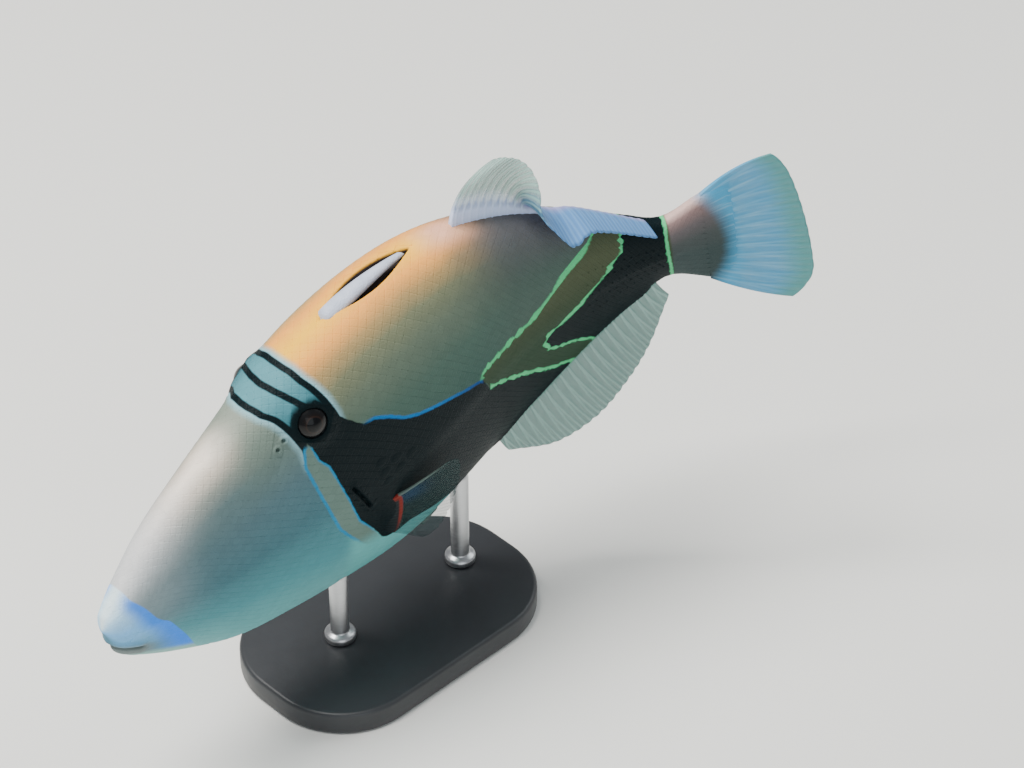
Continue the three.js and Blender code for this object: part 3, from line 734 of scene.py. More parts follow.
def skin_colour(finish):
    """The colours and markings of the skin, with painted light from above and painted shade, the same on the
    skin and on its scales.
    """
    step, line, mix = finish.step, finish.line, finish.mix
    station, height, down = finish.parts("place")
    patch, collar, band = finish.parts("face_marks")
    front, middle, rear = finish.parts("eye_marks")
    olive, wedge, eye = finish.parts("rear_marks")
    groove, mouth = finish.number("groove"), finish.number("mouth")
    ragged = (finish.noise(640) - 0.5) * 1.5
    cloudy = (finish.noise(45) - 0.5) * 0.25

    # Head: its own colours with painted light from above, the forehead paler on top and the sides darker
    face = finish.ramp(down + cloudy * 0.3, FACE_COLOURS_AND_TOP_LIGHT)
    face = mix(face, rgb(*SNOUT_PALE), step(station, 32, 12) * step(down, 0.75, 0.3) * 0.45)
    face = mix(face, rgb(*FOREHEAD_PALE_AND_TOP_LIGHT), step(station, 40, 12) * step(down, 0.3, 0.05) * 0.7)
    face = mix(face, rgb(*FOREHEAD_DULL), step(station, 38, 52) * step(down, 0.34, 0.1) * 0.85)
    # Flank: its own colours with a painted highlight on top and painted shade down the sides
    flank_colour = finish.ramp(down + cloudy * 0.25, FLANK_COLOURS_AND_TOP_LIGHT)
    # Top of the rear flank: painted shade under the dorsal fin's root, fading into the grey below
    rear_flank = mix(rgb(*DORSAL_ROOT_SHADE), rgb(*REAR_GREY), step(down + cloudy * 0.3, 0.06, 0.3))
    pink = line(station - 122, 6, 6) * step(down, 0.08, 0.01) * 0.8
    flank_colour = mix(flank_colour, rear_flank, step(station + cloudy * 50, 112, 138))
    flank_colour = mix(flank_colour, rgb(*DORSAL_PINK), pink)
    flank_colour = mix(flank_colour, rgb(*CHEST_PALE), step(down, 0.62, 0.7))
    colour = mix(face, flank_colour, step(station, 66, 71))

    # Bar between the eyes: teal with three black stripes and pale blue edges
    bar = step(front, -3, -0.8) * step(rear, 3, 0.8) * step(down, 0.33, 0.27)
    teal = mix(rgb(*TEAL_PALE), rgb(*TEAL), step(down, 0.03, 0.2))
    colour = mix(colour, rgb(*BAR_EDGE), bar)
    colour = mix(colour, teal, step(front, -0.2, 0.6) * step(rear, 0.2, -0.6) * bar)
    for stripe, widening in ((front, 0.25), (middle, 0.5), (rear, 0.25)):
        half = STRIPE_HALF + step(down, 0.12, 0.26) * widening
        colour = mix(colour, rgb(*BLACK), (1 - step(abs(stripe) - half, -0.2, 0.25)) * bar)
    colour = mix(colour, rgb(*BLACK), step(eye, 6.6, 5.2))

    # Blue lines round the olive-grey collar, fading towards the chest
    colour = mix(colour, rgb(*COLLAR_GREY), step(collar + ragged * 0.3, -0.3, 0.5) * step(height, -32, -20))
    fading = step(height, -27, -15) * step(eye, 5.6, 7)
    colour = mix(colour, rgb(*COLLAR_BLUE), line(collar + ragged * 0.3, 0.36, 0.28) * fading)

    # Olive field behind, and the black band from the eye down over the belly
    olive_ground = mix(rgb(*OLIVE_BROWN), rgb(*OLIVE_GREEN), step(height, 14, -4))
    colour = mix(colour, olive_ground, step(olive + ragged * 0.3, -0.2, 0.3))
    colour = mix(colour, rgb(*BLACK), step(band + ragged * 0.35, -0.15, 0.3))
    on_top = step(station, 76, 81) * step(height + station * 0.3, 28, 31) * step(station, 116.6, 115.6)
    band_blue = mix(rgb(*BAND_BLUE), rgb(*BAND_BLUE_REAR), step(station, 96, 116))
    colour = mix(colour, band_blue, line(band - 0.05 + ragged * 0.3, 0.46, 0.3) * on_top)

    # Black wedge in the olive field, and green lines round both
    colour = mix(colour, rgb(*BLACK), step(wedge + ragged * 0.35, -0.1, 0.3))
    thin = step(station, 150, 176) * 0.12
    outline = line(abs(olive + ragged * 0.6) + thin, 0.7, 0.24) * step(station, 114.5, 117)
    open_tip = step(height, 3.4, 2.4) * step(station, 119.3, 118.7)
    colour = mix(colour, rgb(*GREEN), outline * (1 - open_tip))
    colour = mix(colour, rgb(*GREEN), line(abs(wedge + ragged * 0.6) + thin, 0.56, 0.22))

    # Brown tail base, which thins out over the tail fin
    out = (station - TAIL_END) * (1 / (CAUDAL_REAR - TAIL_END))
    colour = mix(colour, caudal_colour(finish, 1 - down, out, 0), step(station, 182, 182.8))

    # Snout: its own bluish white with a painted highlight on top and painted shade underneath, blue towards
    # its edge, then painted shade along the mouth and the pale chin
    way_back = station / (station + patch)
    snout = finish.ramp(down, SNOUT_COLOURS_AND_HIGHLIGHT)
    snout = mix(snout, rgb(*SNOUT_BLUE), step(way_back, 0.5, 0.92) * step(down, 0.0, 0.22) * 0.85)
    # Painted shade along the mouth, in front of its corner
    snout = mix(snout, rgb(*MOUTH_SHADE), step(mouth, 2.4, 0) * step(station, 13, 7))
    snout = mix(snout, rgb(*CHIN_PALE), step(mouth, -1.6, -4))
    colour = mix(colour, snout, step(patch, -0.2, 0.3))

    # Depths that no light reaches
    return mix(colour, rgb(*GROOVE_DARK), step(groove, 0.02, 0.3))


def skin_finish():
    finish = Finish("fish_skin")
    fine = finish.noise(900)
    return finish.done(
        Base_Color=finish.shade(skin_colour(finish), 0.9 + fine * 0.1),
        Roughness=0.5 + fine * 0.16,
        Specular_IOR_Level=0.08,
        Normal=finish.bumped(1 - finish.cells(1600), 0.08),
    )


def scale_finish():
    finish = Finish("fish_scales")
    grain = finish.cells(2100)
    tint = finish.number("tint")
    return finish.done(
        Base_Color=finish.shade(skin_colour(finish), 0.97 + tint * 0.07),
        Roughness=0.44 + grain * 0.2,
        Specular_IOR_Level=0.08,
        Coat_Weight=0.02,
        Coat_Roughness=0.35,
        Normal=finish.bumped(1 - grain, 0.06),
    )


def see_through(finish, colour, alpha, ridge):
    """Ends a fin's finish: rays that stand out a little, and light through the membrane."""
    grain = finish.noise(700)
    return finish.done(
        Base_Color=finish.shade(colour, 0.96 + grain * 0.08),
        Roughness=0.5,
        Specular_IOR_Level=0.2,
        Alpha=finish.math("MINIMUM", alpha, 1),
        Normal=finish.bumped(ridge, 0.04),
    )


def dorsal_finish():
    """Clear and greenish in front, lavender and blue where it folds over, white along its base."""
    finish = Finish("dorsal_fin")
    mix, step = finish.mix, finish.step
    spread, out, ridge = finish.parts("fin_place")
    on_ray = step(ridge, 0.2, 0.85)
    toward_rear = step(spread, 0.3, 0.46)
    folded = mix(rgb(*DORSAL_REAR), rgb(*DORSAL_FOLD), step(out, 0.62, 0.34))
    colour = mix(rgb(*FIN_MEMBRANE), folded, toward_rear)
    colour = mix(colour, rgb(*FIN_RAY), on_ray * (0.8 - toward_rear * 0.72))
    from_base = out + (spread - 0.2) * 0.2
    colour = mix(colour, rgb(*DORSAL_BASE), step(from_base, 0.5, 0.18))
    alpha = on_ray * 0.3 + 0.45 + toward_rear * 0.45 + step(from_base, 0.32, 0.08)
    return see_through(finish, colour, alpha, ridge)


def anal_finish():
    finish = Finish("anal_fin")
    mix, step = finish.mix, finish.step
    out, ridge = finish.parts("fin_place")[1:]
    on_ray = step(ridge, 0.2, 0.85)
    at_base = step(out, 0.14, 0.05)
    colour = mix(rgb(*FIN_MEMBRANE), rgb(*FIN_RAY), on_ray * 0.8)
    colour = mix(colour, rgb(*ANAL_BASE), at_base)
    return see_through(finish, colour, on_ray * 0.15 + 0.7 + at_base * 0.3, ridge)


def pectoral_finish():
    """Side fins: nearly clear, pale along the first ray, a red line round the dark fleshy base."""
    finish = Finish("pectoral_fins")
    mix, step = finish.mix, finish.step
    spread, out, ridge = finish.parts("fin_place")
    past_base = out - spread * 0.04 - 0.17
    in_base = step(past_base, 0.01, -0.01)
    red = finish.line(past_base, 0.024, 0.012) * step(spread, 1.1, 0.4)
    red = finish.math("MAXIMUM", red, step(spread, 0.16, 0.08) * in_base)
    first_ray = step(spread, 0.045, 0.02) * step(out, 1.3, 0.8)
    sheen = step(spread, 0.02, 0.1) * step(spread, 0.42, 0.14) * step(out, 0.75, 0.3)
    colour = mix(rgb(*PECTORAL_MEMBRANE), rgb(*PECTORAL_SHEEN), sheen)
    colour = mix(colour, rgb(*PECTORAL_RAY), first_ray)
    colour = mix(colour, rgb(*BLACK), in_base)
    colour = mix(colour, rgb(*PECTORAL_RED), red)
    alpha = ridge * 0.1 + 0.22 + first_ray * 0.6 + sheen * 0.2 + in_base + red
    return see_through(finish, colour, alpha, ridge)


def caudal_colour(finish, spread, out, ridge):
    """Blue with pale streaks, brown at the base; on the skin that runs on to it as well."""
    across = finish.node("ShaderNodeCombineXYZ", {}, {0: spread * 46, 1: out * 2.2})
    streak = finish.node("ShaderNodeTexNoise", {}, {"Vector": across, "Scale": 1.0, "Detail": 3.0})
    to_margin = finish.step(out + (streak - 0.5) * 0.2, 0.62, 0.95)
    colour = finish.mix(rgb(*CAUDAL_BLUE), rgb(*CAUDAL_MARGIN), to_margin)
    pale = finish.step(ridge, 0.35, 0.95) * 0.18 + finish.step(streak, 0.45, 0.75) * 0.32
    colour = finish.mix(colour, rgb(*CAUDAL_RAY), pale * finish.step(out, 1, 0.45))
    off_middle = spread - 0.45
    edge = out + (streak - 0.5) * 0.07 + off_middle * off_middle * 0.9
    brown = finish.ramp(1 - spread, TAIL_BASE_COLOURS)
    return finish.mix(colour, brown, finish.step(edge, 0.36, 0.13))


def caudal_finish():
    finish = Finish("tail_fin")
    spread, out, ridge = finish.parts("fin_place")
    colour = caudal_colour(finish, spread, out, ridge)
    alpha = finish.step(ridge, 0.2, 0.8) * 0.1 + 0.82 + finish.step(out, 0.4, 0.2) * 0.18
    return see_through(finish, colour, alpha, ridge)


def eye_finish():
    finish = Finish("eye")
    off_axis = finish.number("off_axis")
    flecks = finish.noise(1400, 4.0)
    iris = finish.mix(rgb(*IRIS_BROWN), rgb(*IRIS_DARK), finish.step(off_axis + flecks, 2.7, 3.7))
    iris = finish.mix(iris, rgb(*IRIS_RIM), finish.line(off_axis - 2.05 + (flecks - 0.5) * 0.4, 0.16, 0.14))
    iris = finish.shade(iris, 0.7 + flecks * 0.6)
    return finish.done(
        Base_Color=finish.mix(iris, rgb(*PUPIL), finish.step(off_axis, 1.95, 1.8)),
        Roughness=0.3,
        Specular_IOR_Level=0.12,
        Coat_Weight=0.2,
        Coat_Roughness=0.04,
    )


def spine_finish(name, light, dark):
    finish = Finish(name)
    grain = finish.noise(420, 4.0)
    return finish.done(
        Base_Color=finish.mix(rgb(*dark), rgb(*light), grain),
        Roughness=0.4 + grain * 0.2,
        Specular_IOR_Level=0.3,
        Normal=finish.bumped(finish.cells(1800), 0.08),
    )


def painted_finish():
    finish = Finish("stand_paint")
    orange_peel = finish.noise(500)
    return finish.done(
        Base_Color=finish.mix(rgb(38, 40, 43), rgb(48, 50, 54), finish.noise(60)),
        Roughness=0.36 + orange_peel * 0.12,
        Normal=finish.bumped(orange_peel, 0.03),
    )


def brushed_finish():
    finish = Finish("stand_steel")
    drawn_out = finish.node("ShaderNodeMapping", {}, {"Vector": finish.in_object(), "Scale": (1, 1, 14)})
    brushing = finish.node("ShaderNodeTexNoise", {}, {"Vector": drawn_out, "Scale": 260.0, "Detail": 4.0})
    return finish.done(
        Base_Color=finish.mix(rgb(176, 178, 180), rgb(205, 206, 208), brushing),
        Metallic=1.0,
        Roughness=0.24 + brushing * 0.16,
        Normal=finish.bumped(brushing, 0.015),
    )


def floor_finish():
    finish = Finish("studio_floor")
    return finish.done(
        Base_Color=finish.mix(rgb(226, 226, 222), rgb(232, 232, 229), finish.noise(6)),
        Roughness=0.7,
    )


# Skin: one closed surface over head, body and tail stem


def near_forms(x, around):
    """How finely the skin has to be divided at a place: 0, 1 or 2 times more."""
    point = on_body(x, around)
    eye = from_eye(point)
    z = point[..., 2]
    nostril = from_nostrils(x, z)
    slit = from_line(x, z, *GILL_SLIT)
    groove = from_line(x, z, *EYE_GROOVE)
    trench = (x > GROOVE_FROM - 3) & (x < GROOVE_TO + 3)
    trench &= (np.abs(point[..., 1]) < 6) & (np.abs(around) < 0.3)
    wall = trench & (in_groove(point) < 0.999) & (in_groove(point * (1, 0.85, 1)) > 0.001)
    mouth = (x < MOUTH_CORNER + 3) & (np.abs(from_mouth(x, z)) < 4)
    once = (eye < 10) | (nostril < 3) | (slit < 3) | (groove < 2) | trench | mouth
    twice = ((eye < 5.6) & (eye > 2.6)) | (nostril < 2) | (slit < 1.3) | wall
    twice |= mouth & (x < MOUTH_CORNER + 2)
    return once.astype(int) + twice.astype(int)


def grid_place(points):
    """Station and way round of a point of the flat grid that the skin starts as."""
    return SKIN_END * np.clip(points[:, 0] + 0.5, 0, 1) ** 1.35, 2 * points[:, 1]


def skin():
    """A flat grid, finer at small forms, wrapped over the fish and joined along the keel."""
    bm = bmesh.new()
    bmesh.ops.create_grid(bm, x_segments=250, y_segments=196, size=0.5)
    for times in (1, 2):
        middles = np.array([face.calc_center_median() for face in bm.faces])
        finer = near_forms(*grid_place(middles)) >= times
        edges = {edge for face, fine in zip(bm.faces, finer) if fine for edge in face.edges}
        bmesh.ops.subdivide_edges(bm, edges=list(edges), cuts=1, use_grid_fill=True)
    x, around = grid_place(coordinates(bm))
    station = bm.verts.layers.float.new("station")
    way = bm.verts.layers.float.new("way")
    for vert, vert_x, vert_around in zip(bm.verts, x, around):
        vert[station] = vert_x
        vert[way] = vert_around
    move(bm, pose(surface(x, around)))
    bmesh.ops.remove_doubles(bm, verts=bm.verts, dist=1e-6)
    bmesh.ops.recalc_face_normals(bm, faces=bm.faces)
    x = np.array([vert[station] for vert in bm.verts])
    around = np.array([vert[way] for vert in bm.verts])
    piece("skin", bm, skin_finish(), ("head", "trunk", "tail_stem"), marks(x, around))


# Scales: thin lozenges in crossing rows, smaller towards snout and tail

SCALE_SIZES = ((0, 12, 40, 70, 100, 150, 201), (1.5, 1.9, 2.5, 2.8, 3.0, 2.5, 1.9))
# Corners of a scale, as shares of its length and width, and the rings that they make: share of
# the full size, lift from the skin, and how much more of it at the rear edge
LOZENGE = ((1, 0.12), (0.12, 1), (-0.12, 1), (-1, 0.12), (-1, -0.12), (-0.12, -1), (0.12, -1), (1, -0.12))
SCALE_RINGS = ((0.36, 0.11, 0.07), (0.47, 0.05, 0.06), (0.475, -0.14, 0))
# Share by which the markings on a scale are drawn to those of its middle, which makes edges zigzag
DRAWN_TO_MIDDLE = 0.4
TAIL_LINE_FROM = 172
HEAD_SCALES_TO = 80
# Size of a scale's patch on its unwrap, and the length of body that the unwrap spans
PATCH_SIZE = 0.003
UNWRAP_LENGTH = 210


def scale_size(x):
    return np.interp(x, *SCALE_SIZES)


COLUMNS_TO = np.cumsum(np.gradient(TABLE_X) / scale_size(TABLE_X))


def on_lattice(column, row):
    """Station and way round of a place among the scales, rows counted from the back's middle."""
    x = np.interp(column, COLUMNS_TO, TABLE_X)
    return x, row * scale_size(x) / np.interp(x, TABLE_X, HALF_GIRTH)


def scale_lattice():
    """Column and row of every scale: every other crossing of the half rows, off lids, lips and slits."""
    most = int(2 * COLUMNS_TO[-1])
    widest = int(2 * HALF_GIRTH.max() / scale_size(TABLE_X).min())
    i, j = np.meshgrid(np.arange(4, most), np.arange(-widest, widest + 1), indexing="ij")
    crossing = (i + j) % 2 == 0
    columns, rows = i[crossing] / 2, j[crossing] / 2
    x, around = on_lattice(columns, rows)
    point = on_body(x, np.clip(around, -1, 1))
    z = point[:, 2]
    lips = (x < MOUTH_CORNER + 1) & (np.abs(from_mouth(x, z)) < 3.4)
    kept = (np.abs(around) < 1.005) & (x > 4) & (x < TAIL_END) & ~lips
    kept &= (from_nostrils(x, z) > 1.9) & (from_eye(point) > 5.4) & (from_line(x, z, *GILL_SLIT) > 1.1)
    kept &= in_groove(point * (1, 0.74, 1)) < 0.02
    return columns[kept], rows[kept]


def scales():
    finish = scale_finish()
    columns, rows = scale_lattice()
    x = on_lattice(columns, rows)[0]
    for name, which in (("head_scales", x < HEAD_SCALES_TO), ("body_scales", x >= HEAD_SCALES_TO)):
        lay_scales(name, columns[which], rows[which], finish)


def scale_pattern():
    """Corners and faces of one scale: a raised middle and rings of corners round it."""
    corners = [(0, 0, 0.13)]
    for size, lift, rear_lift in SCALE_RINGS:
        corners += [(size * a, size * b, lift + rear_lift * (size * a + 0.5)) for a, b in LOZENGE]
    count = len(LOZENGE)
    faces = []
    for k in range(count):
        after = (k + 1) % count
        faces.append((0, 1 + k, 1 + after))
        for ring in range(1, count * (len(SCALE_RINGS) - 1), count):
            faces.append((ring + k, ring + count + k, ring + count + after, ring + after))
    return np.array(corners), faces


def lay_scales(name, columns, rows, finish):
    """Joins the scales of one stretch, each laid over the skin from the one pattern."""
    corners, faces = scale_pattern()
    x, around = on_lattice(columns[:, None] + corners[:, 0], rows[:, None] + corners[:, 1])
    x, around = np.clip(x, 2, SKIN_END), np.clip(around, -0.999, 0.999)
    middle_x, middle_around = on_lattice(columns, rows)
    lift = corners[:, 2] * scale_size(x) / 3
    laid = pose(surface(x, around) + facing(surface, x, around) * lift[..., None]).reshape(-1, 3)
    starts = np.arange(len(columns)) * len(corners)
    mesh = bpy.data.meshes.new(name)
    all_faces = [tuple(start + corner for corner in face) for start in starts for face in faces]
    mesh.from_pydata(laid, [], all_faces)
    drawn = DRAWN_TO_MIDDLE * (x < TAIL_LINE_FROM)
    drawn_x = lerp(x, middle_x[:, None], drawn).ravel()
    drawn_around = lerp(around, np.clip(middle_around, -1, 1)[:, None], drawn).ravel()
    attributes = marks(x.ravel(), around.ravel())
    attributes["rear_marks"] = marks(drawn_x, drawn_around)["rear_marks"]
    attributes["tint"] = np.repeat(rng.uniform(-0.5, 0.5, len(columns)), len(corners))
    root = np.stack([middle_x / UNWRAP_LENGTH, 0.5 + 0.45 * middle_around], axis=-1)
    patch = (root[:, None, :] + corners[:, :2] * PATCH_SIZE).reshape(-1, 2)
    corner_of = np.empty(len(mesh.loops), dtype=np.int32)
    mesh.loops.foreach_get("vertex_index", corner_of)
    unwrap = mesh.uv_layers.new(name="OFBake")
    unwrap.data.foreach_set("uv", patch[corner_of].astype(np.float32).ravel())
    show(name, mesh, finish, attributes=attributes)


# Fins


def leaf(columns, rows):
    """A flat closed leaf, its faces meeting round the rim; x is the spread, y goes out."""
    bm = bmesh.new()
    for face in (-0.5, 0.5):
        bmesh.ops.create_grid(
            bm, x_segments=columns, y_segments=rows, size=0.5, matrix=Matrix.Translation((0, 0, face))
        )
    rim = [edge for edge in bm.edges if edge.is_boundary]
    bmesh.ops.bridge_loops(bm, edges=rim)
    bmesh.ops.recalc_face_normals(bm, faces=bm.faces)
    return bm


def ray_ridge(spread, out, count, split_from):
    """Height of the rays, 0 to 1; each splits in two on its way out."""
    across = (spread * count) % 1 - 0.5
    split = 0.25 * ease((out - split_from) / (1 - split_from))
    return np.maximum(bump(across - split, 0.13), bump(across + split, 0.13))


def fin(name, centre, thickness, count, split_from, proud, finish, node, mirror=1, fineness=(10, 26)):
    """A fin over the surface centre(spread, out), with rays standing out of both faces.

    The rays split from the given share of their length on, and fineness is the grid's columns to
    a ray and its rows.
    """
    bm = leaf(count * fineness[0], fineness[1])
    flat = coordinates(bm)
    spread, out = flat[:, 0] + 0.5, flat[:, 1] + 0.5
    step = 0.004
    across = centre(spread + step, out) - centre(spread - step, out)
    outward_way = centre(spread, out + step) - centre(spread, out - step)
    normal = np.cross(across, outward_way)
    normal /= np.linalg.norm(normal, axis=-1, keepdims=True)
    ridge = ray_ridge(spread, out, count, split_from)
    half = thickness(spread, out) + proud * ridge * (1 - 0.7 * out)
    points = centre(spread, out) + normal * (np.sign(flat[:, 2]) * half)[:, None]
    attributes = {"fin_place": np.stack([spread, out, ridge], axis=-1)}
    piece(name, lay(bm, points * (1, mirror, 1)), finish, (node,), attributes)


def membrane(spread, out):
    """Half the thickness of a fin, from its root to its margin."""
    return lerp(FIN_ROOT_HALF, FIN_MARGIN_HALF, np.sqrt(np.clip(out, 0, 1)))


def side_membrane(spread, out):
    return membrane(spread, out) * PECTORAL_THINNER


def scalloped(centre, count, depth):
    """Notches the margin of a fin a little between its rays."""
    def notched(spread, out):
        between = 1 - np.abs(np.sin(np.pi * spread * count))
        return centre(spread, out * (1 - depth * between * np.clip(out, 0, 1)))
    return notched


def median_fin(start, end, rays, edge, sink, sweep):
    """Rays rise from the body's mid line, bow forward and arch over to one side."""
    arch, curl, bow = sweep

    def centre(spread, out):
        x = lerp(start, end, spread)
        back, up, left = (along(rays, column, spread) for column in (1, 2, 3))
        bowed = bow * np.abs(back) * out * (1 - out)
        arched = arch * np.abs(left) * out * (1 - out)
        aside = left * np.sign(out) * np.abs(out) ** curl
        root = edge(x) - sink * (1 - out)
        height = root + up * out + (arched + bowed) * np.sign(sink)
        return np.stack([x + back * out - bowed, -aside, height], axis=-1)
    return centre


def caudal_centre(spread, out):
    """Rays fan from the end of the body to a slightly rounded rear margin."""
    root_z = lerp(belly_line(TAIL_END), back_line(TAIL_END), spread)
    tip_z = lerp(CAUDAL_BOTTOM, CAUDAL_TOP, spread)
    farthest = np.where(tip_z > CAUDAL_FULLEST, CAUDAL_TOP, CAUDAL_BOTTOM)
    off_full = (tip_z - CAUDAL_FULLEST) / (farthest - CAUDAL_FULLEST)
    corner = np.where(spread > 0.5, CAUDAL_CORNER[1], CAUDAL_CORNER[0]) * (2 * spread - 1) ** 8
    tip_x = CAUDAL_REAR - CAUDAL_CUT_BACK * off_full ** 2 - corner
    bow = CAUDAL_FAN_BOW * (spread - 0.5) * out * (1 - out)
    return np.stack([lerp(TAIL_END, tip_x, out), 0 * out, lerp(root_z, tip_z, out) + bow], axis=-1)


def caudal_thickness(spread, out):
    return lerp(FIN_ROOT_HALF * 0.6, FIN_MARGIN_HALF, np.clip(out, 0, 1) ** 0.6)


def pectoral_centre(spread, out):
    """Rays fan back and down from a slanted base, standing off the left flank."""
    x, z, slope, length = (lerp(top, bottom, spread) for top, bottom in zip(PECTORAL_TOP, PECTORAL_BOTTOM))
    rounding = 1 - 0.1 * (2 * spread - 1) ** 2 - 0.25 * (2 * spread - 1) ** 8
    reach = length * rounding * out
    lifted = 4.2 * np.sqrt(np.clip(out, 0, 1)) + 2.6 * out
    off = flank(x, z) - 1 + lifted
    return np.stack([x + reach * np.cos(slope), -off, z + reach * np.sin(slope)], axis=-1)


def fins():
    dorsal = median_fin(DORSAL_FROM, DORSAL_TO, DORSAL_RAYS, back_line, DORSAL_SUNK, DORSAL_SWEEP)
    anal = median_fin(ANAL_FROM, ANAL_TO, ANAL_RAYS, belly_line, ANAL_SUNK, ANAL_SWEEP)
    fin(
        "soft_dorsal", scalloped(dorsal, DORSAL_RAY_COUNT, 0.015), membrane,
        DORSAL_RAY_COUNT, 0.05, 0.13, dorsal_finish(), "soft_dorsal_fin",
    )
    fin(
        "anal", scalloped(anal, ANAL_RAY_COUNT, 0.02), membrane,
        ANAL_RAY_COUNT, 0.05, 0.2, anal_finish(), "anal_fin",
    )
    fin(
        "tail_fin", scalloped(caudal_centre, CAUDAL_RAY_COUNT, 0.005), caudal_thickness,
        CAUDAL_RAY_COUNT, 0.15, 0.14, caudal_finish(), "caudal_fin", fineness=(14, 34),
    )
    side_clear = pectoral_finish()
    for side, mirror in (("left", 1), ("right", -1)):
        fin(
            f"pectoral_{side}", scalloped(pectoral_centre, PECTORAL_RAY_COUNT, 0.03), side_membrane,
            PECTORAL_RAY_COUNT, 0.2, 0.1, side_clear, f"pectoral_fin_{side}", mirror,
        )


# Eyes, spines and hooks


def eyes():
    finish = eye_finish()
    for side, name in ((-1, "left"), (1, "right")):
        bm = bmesh.new()
        bmesh.ops.create_uvsphere(bm, u_segments=48, v_segments=32, radius=EYE_RADIUS)
        ball = coordinates(bm)
        off_axis = np.hypot(ball[:, 0], ball[:, 1])
        axis = Vector(EYE_AXIS * (1, side, 1))
        turned = np.array(Vector((0, 0, 1)).rotation_difference(axis).to_matrix())
        cornea = 0.3 * bump(off_axis, 2.4) * (ball[:, 2] > 0)
        points = (ball * (1 + cornea / EYE_RADIUS)[:, None]) @ turned.T + EYE_CENTRE * (1, side, 1)
        move(bm, pose(points))
        attributes = {"off_axis": np.where(ball[:, 2] > 0, off_axis, EYE_RADIUS)}
        piece(f"eyeball_{name}", bm, finish, (f"eye_{name}",), attributes)


def upright(bm, least):
    """The edges that rise by at least a given height."""
    return [edge for edge in bm.edges if abs(edge.verts[0].co.z - edge.verts[1].co.z) > least]


def laid_spine(start, end, radius, tip_radius, fuller, aside, sunk):
    """A spine laid back in the groove, fullest before its middle and rising a little to its tip."""
    bm = bmesh.new()
    bmesh.ops.create_cone(bm, cap_ends=True, cap_tris=True, segments=24, radius1=1, radius2=1, depth=1)
    bmesh.ops.subdivide_edges(bm, edges=upright(bm, 0.5), cuts=36)
    shape = coordinates(bm)
    t = np.clip(shape[:, 2] + 0.5, 0, 1)
    x = lerp(start, end, t)
    rounded = np.sqrt(np.clip((1 - t) / 0.05, 0.01, 1)) * np.sqrt(np.clip(t / 0.04, 0.2, 1))
    thick = lerp(radius, tip_radius, t ** 1.6) * rounded
    wide = thick * (1 + fuller * np.sin(np.pi * t ** 0.7))
    lowest = back_line(x) - GROOVE_DEPTH + 0.3 + 1.6 * t - sunk
    return lay(bm, np.stack([x, aside + shape[:, 1] * wide, lowest + thick * (1 + shape[:, 0])], axis=-1))


def joined(bms):
    """One bmesh of several, which are freed."""
    whole = bmesh.new()
    for bm in bms:
        mesh = bpy.data.meshes.new("joining")
        bm.to_mesh(mesh)
        whole.from_mesh(mesh)
        bm.free()
        bpy.data.meshes.remove(mesh)
    return whole


def trigger_spines():
    bone = spine_finish("spine_bone", (200, 206, 226), (162, 174, 192))
    both = joined([
        laid_spine(GROOVE_FROM + 0.3, GROOVE_TO - 2, 2.0, 0.7, 0.35, 0, 0),
        laid_spine(92, 103, 0.7, 0.35, 0, 2.9, 1.1),
    ])
    piece("trigger_spine_bones", both, bone, ("first_dorsal_spines",))


def pelvic_tip():
    """The short end of the pelvic bone under the belly."""
    bm = bmesh.new()
    bmesh.ops.create_cone(bm, cap_ends=True, segments=16, radius1=1, radius2=1, depth=1)
    bmesh.ops.subdivide_edges(bm, edges=bm.edges, cuts=5, use_grid_fill=True)
    shape = coordinates(bm)
    t = shape[:, 2] + 0.5
    x = PELVIC_AT + PELVIC_LENGTH * t
    radius = lerp(1.6, 0.6, t)
    z = belly_line(x) + 0.6 - 0.9 * t + shape[:, 1] * radius
    lay(bm, np.stack([x, -shape[:, 0] * radius, z], axis=-1))
    knobbly = spine_finish("pelvic_bone", (104, 122, 118), (62, 76, 74))
    piece("pelvic_bone_tip", bm, knobbly, ("pelvic_spine",))


def on_skin(name, bits):
    """Joins small forms, each with its station and way round, and colours them as the skin there."""
    at = [[np.broadcast_to(bit[k], len(bit[0].verts)) for bit in bits] for k in (1, 2)]
    attributes = marks(*(np.concatenate(values) for values in at))
    piece(name, joined([bit[0] for bit in bits]), skin_finish(), attributes=attributes)


def tail_hooks():
    """Rows of small forward-bent spines on each side of the tail stem."""
    hooks = []
    for side in (-1, 1):
        for row in range(HOOK_ROWS):
            for k in range(HOOKS_IN_ROW):
                x = np.array(lerp(*HOOKS_ALONG, (k + 0.5 * (row % 2)) / (HOOKS_IN_ROW - 0.5)))
                around = np.array(side * lerp(*HOOKS_DOWN, row / (HOOK_ROWS - 1)))
                hooks.append((hook(x, around), x, around))
    on_skin("tail_hooks", hooks)


def hook(x, around):
    """A small thorn that rises from the skin and bends forward."""
    bm = bmesh.new()
    bmesh.ops.create_cone(bm, cap_ends=True, segments=8, radius1=1, radius2=0.15, depth=1)
    bmesh.ops.subdivide_edges(bm, edges=upright(bm, 0.5), cuts=2)
    shape = coordinates(bm)
    up = shape[:, 2] + 0.5
    root = surface(x, around)
    out = facing(surface, x, around)
    forward = np.cross(out, np.cross((-1, 0, 0), out))
    sideways = np.cross(out, forward)
    bend = HOOK_HEIGHT * 0.8 * up ** 2
    lift = HOOK_HEIGHT * up - HOOK_SUNK
    points = root + np.outer(lift, out) + np.outer(shape[:, 0] * HOOK_RADIUS + bend, forward)
    return lay(bm, points + np.outer(shape[:, 1] * HOOK_RADIUS, sideways))


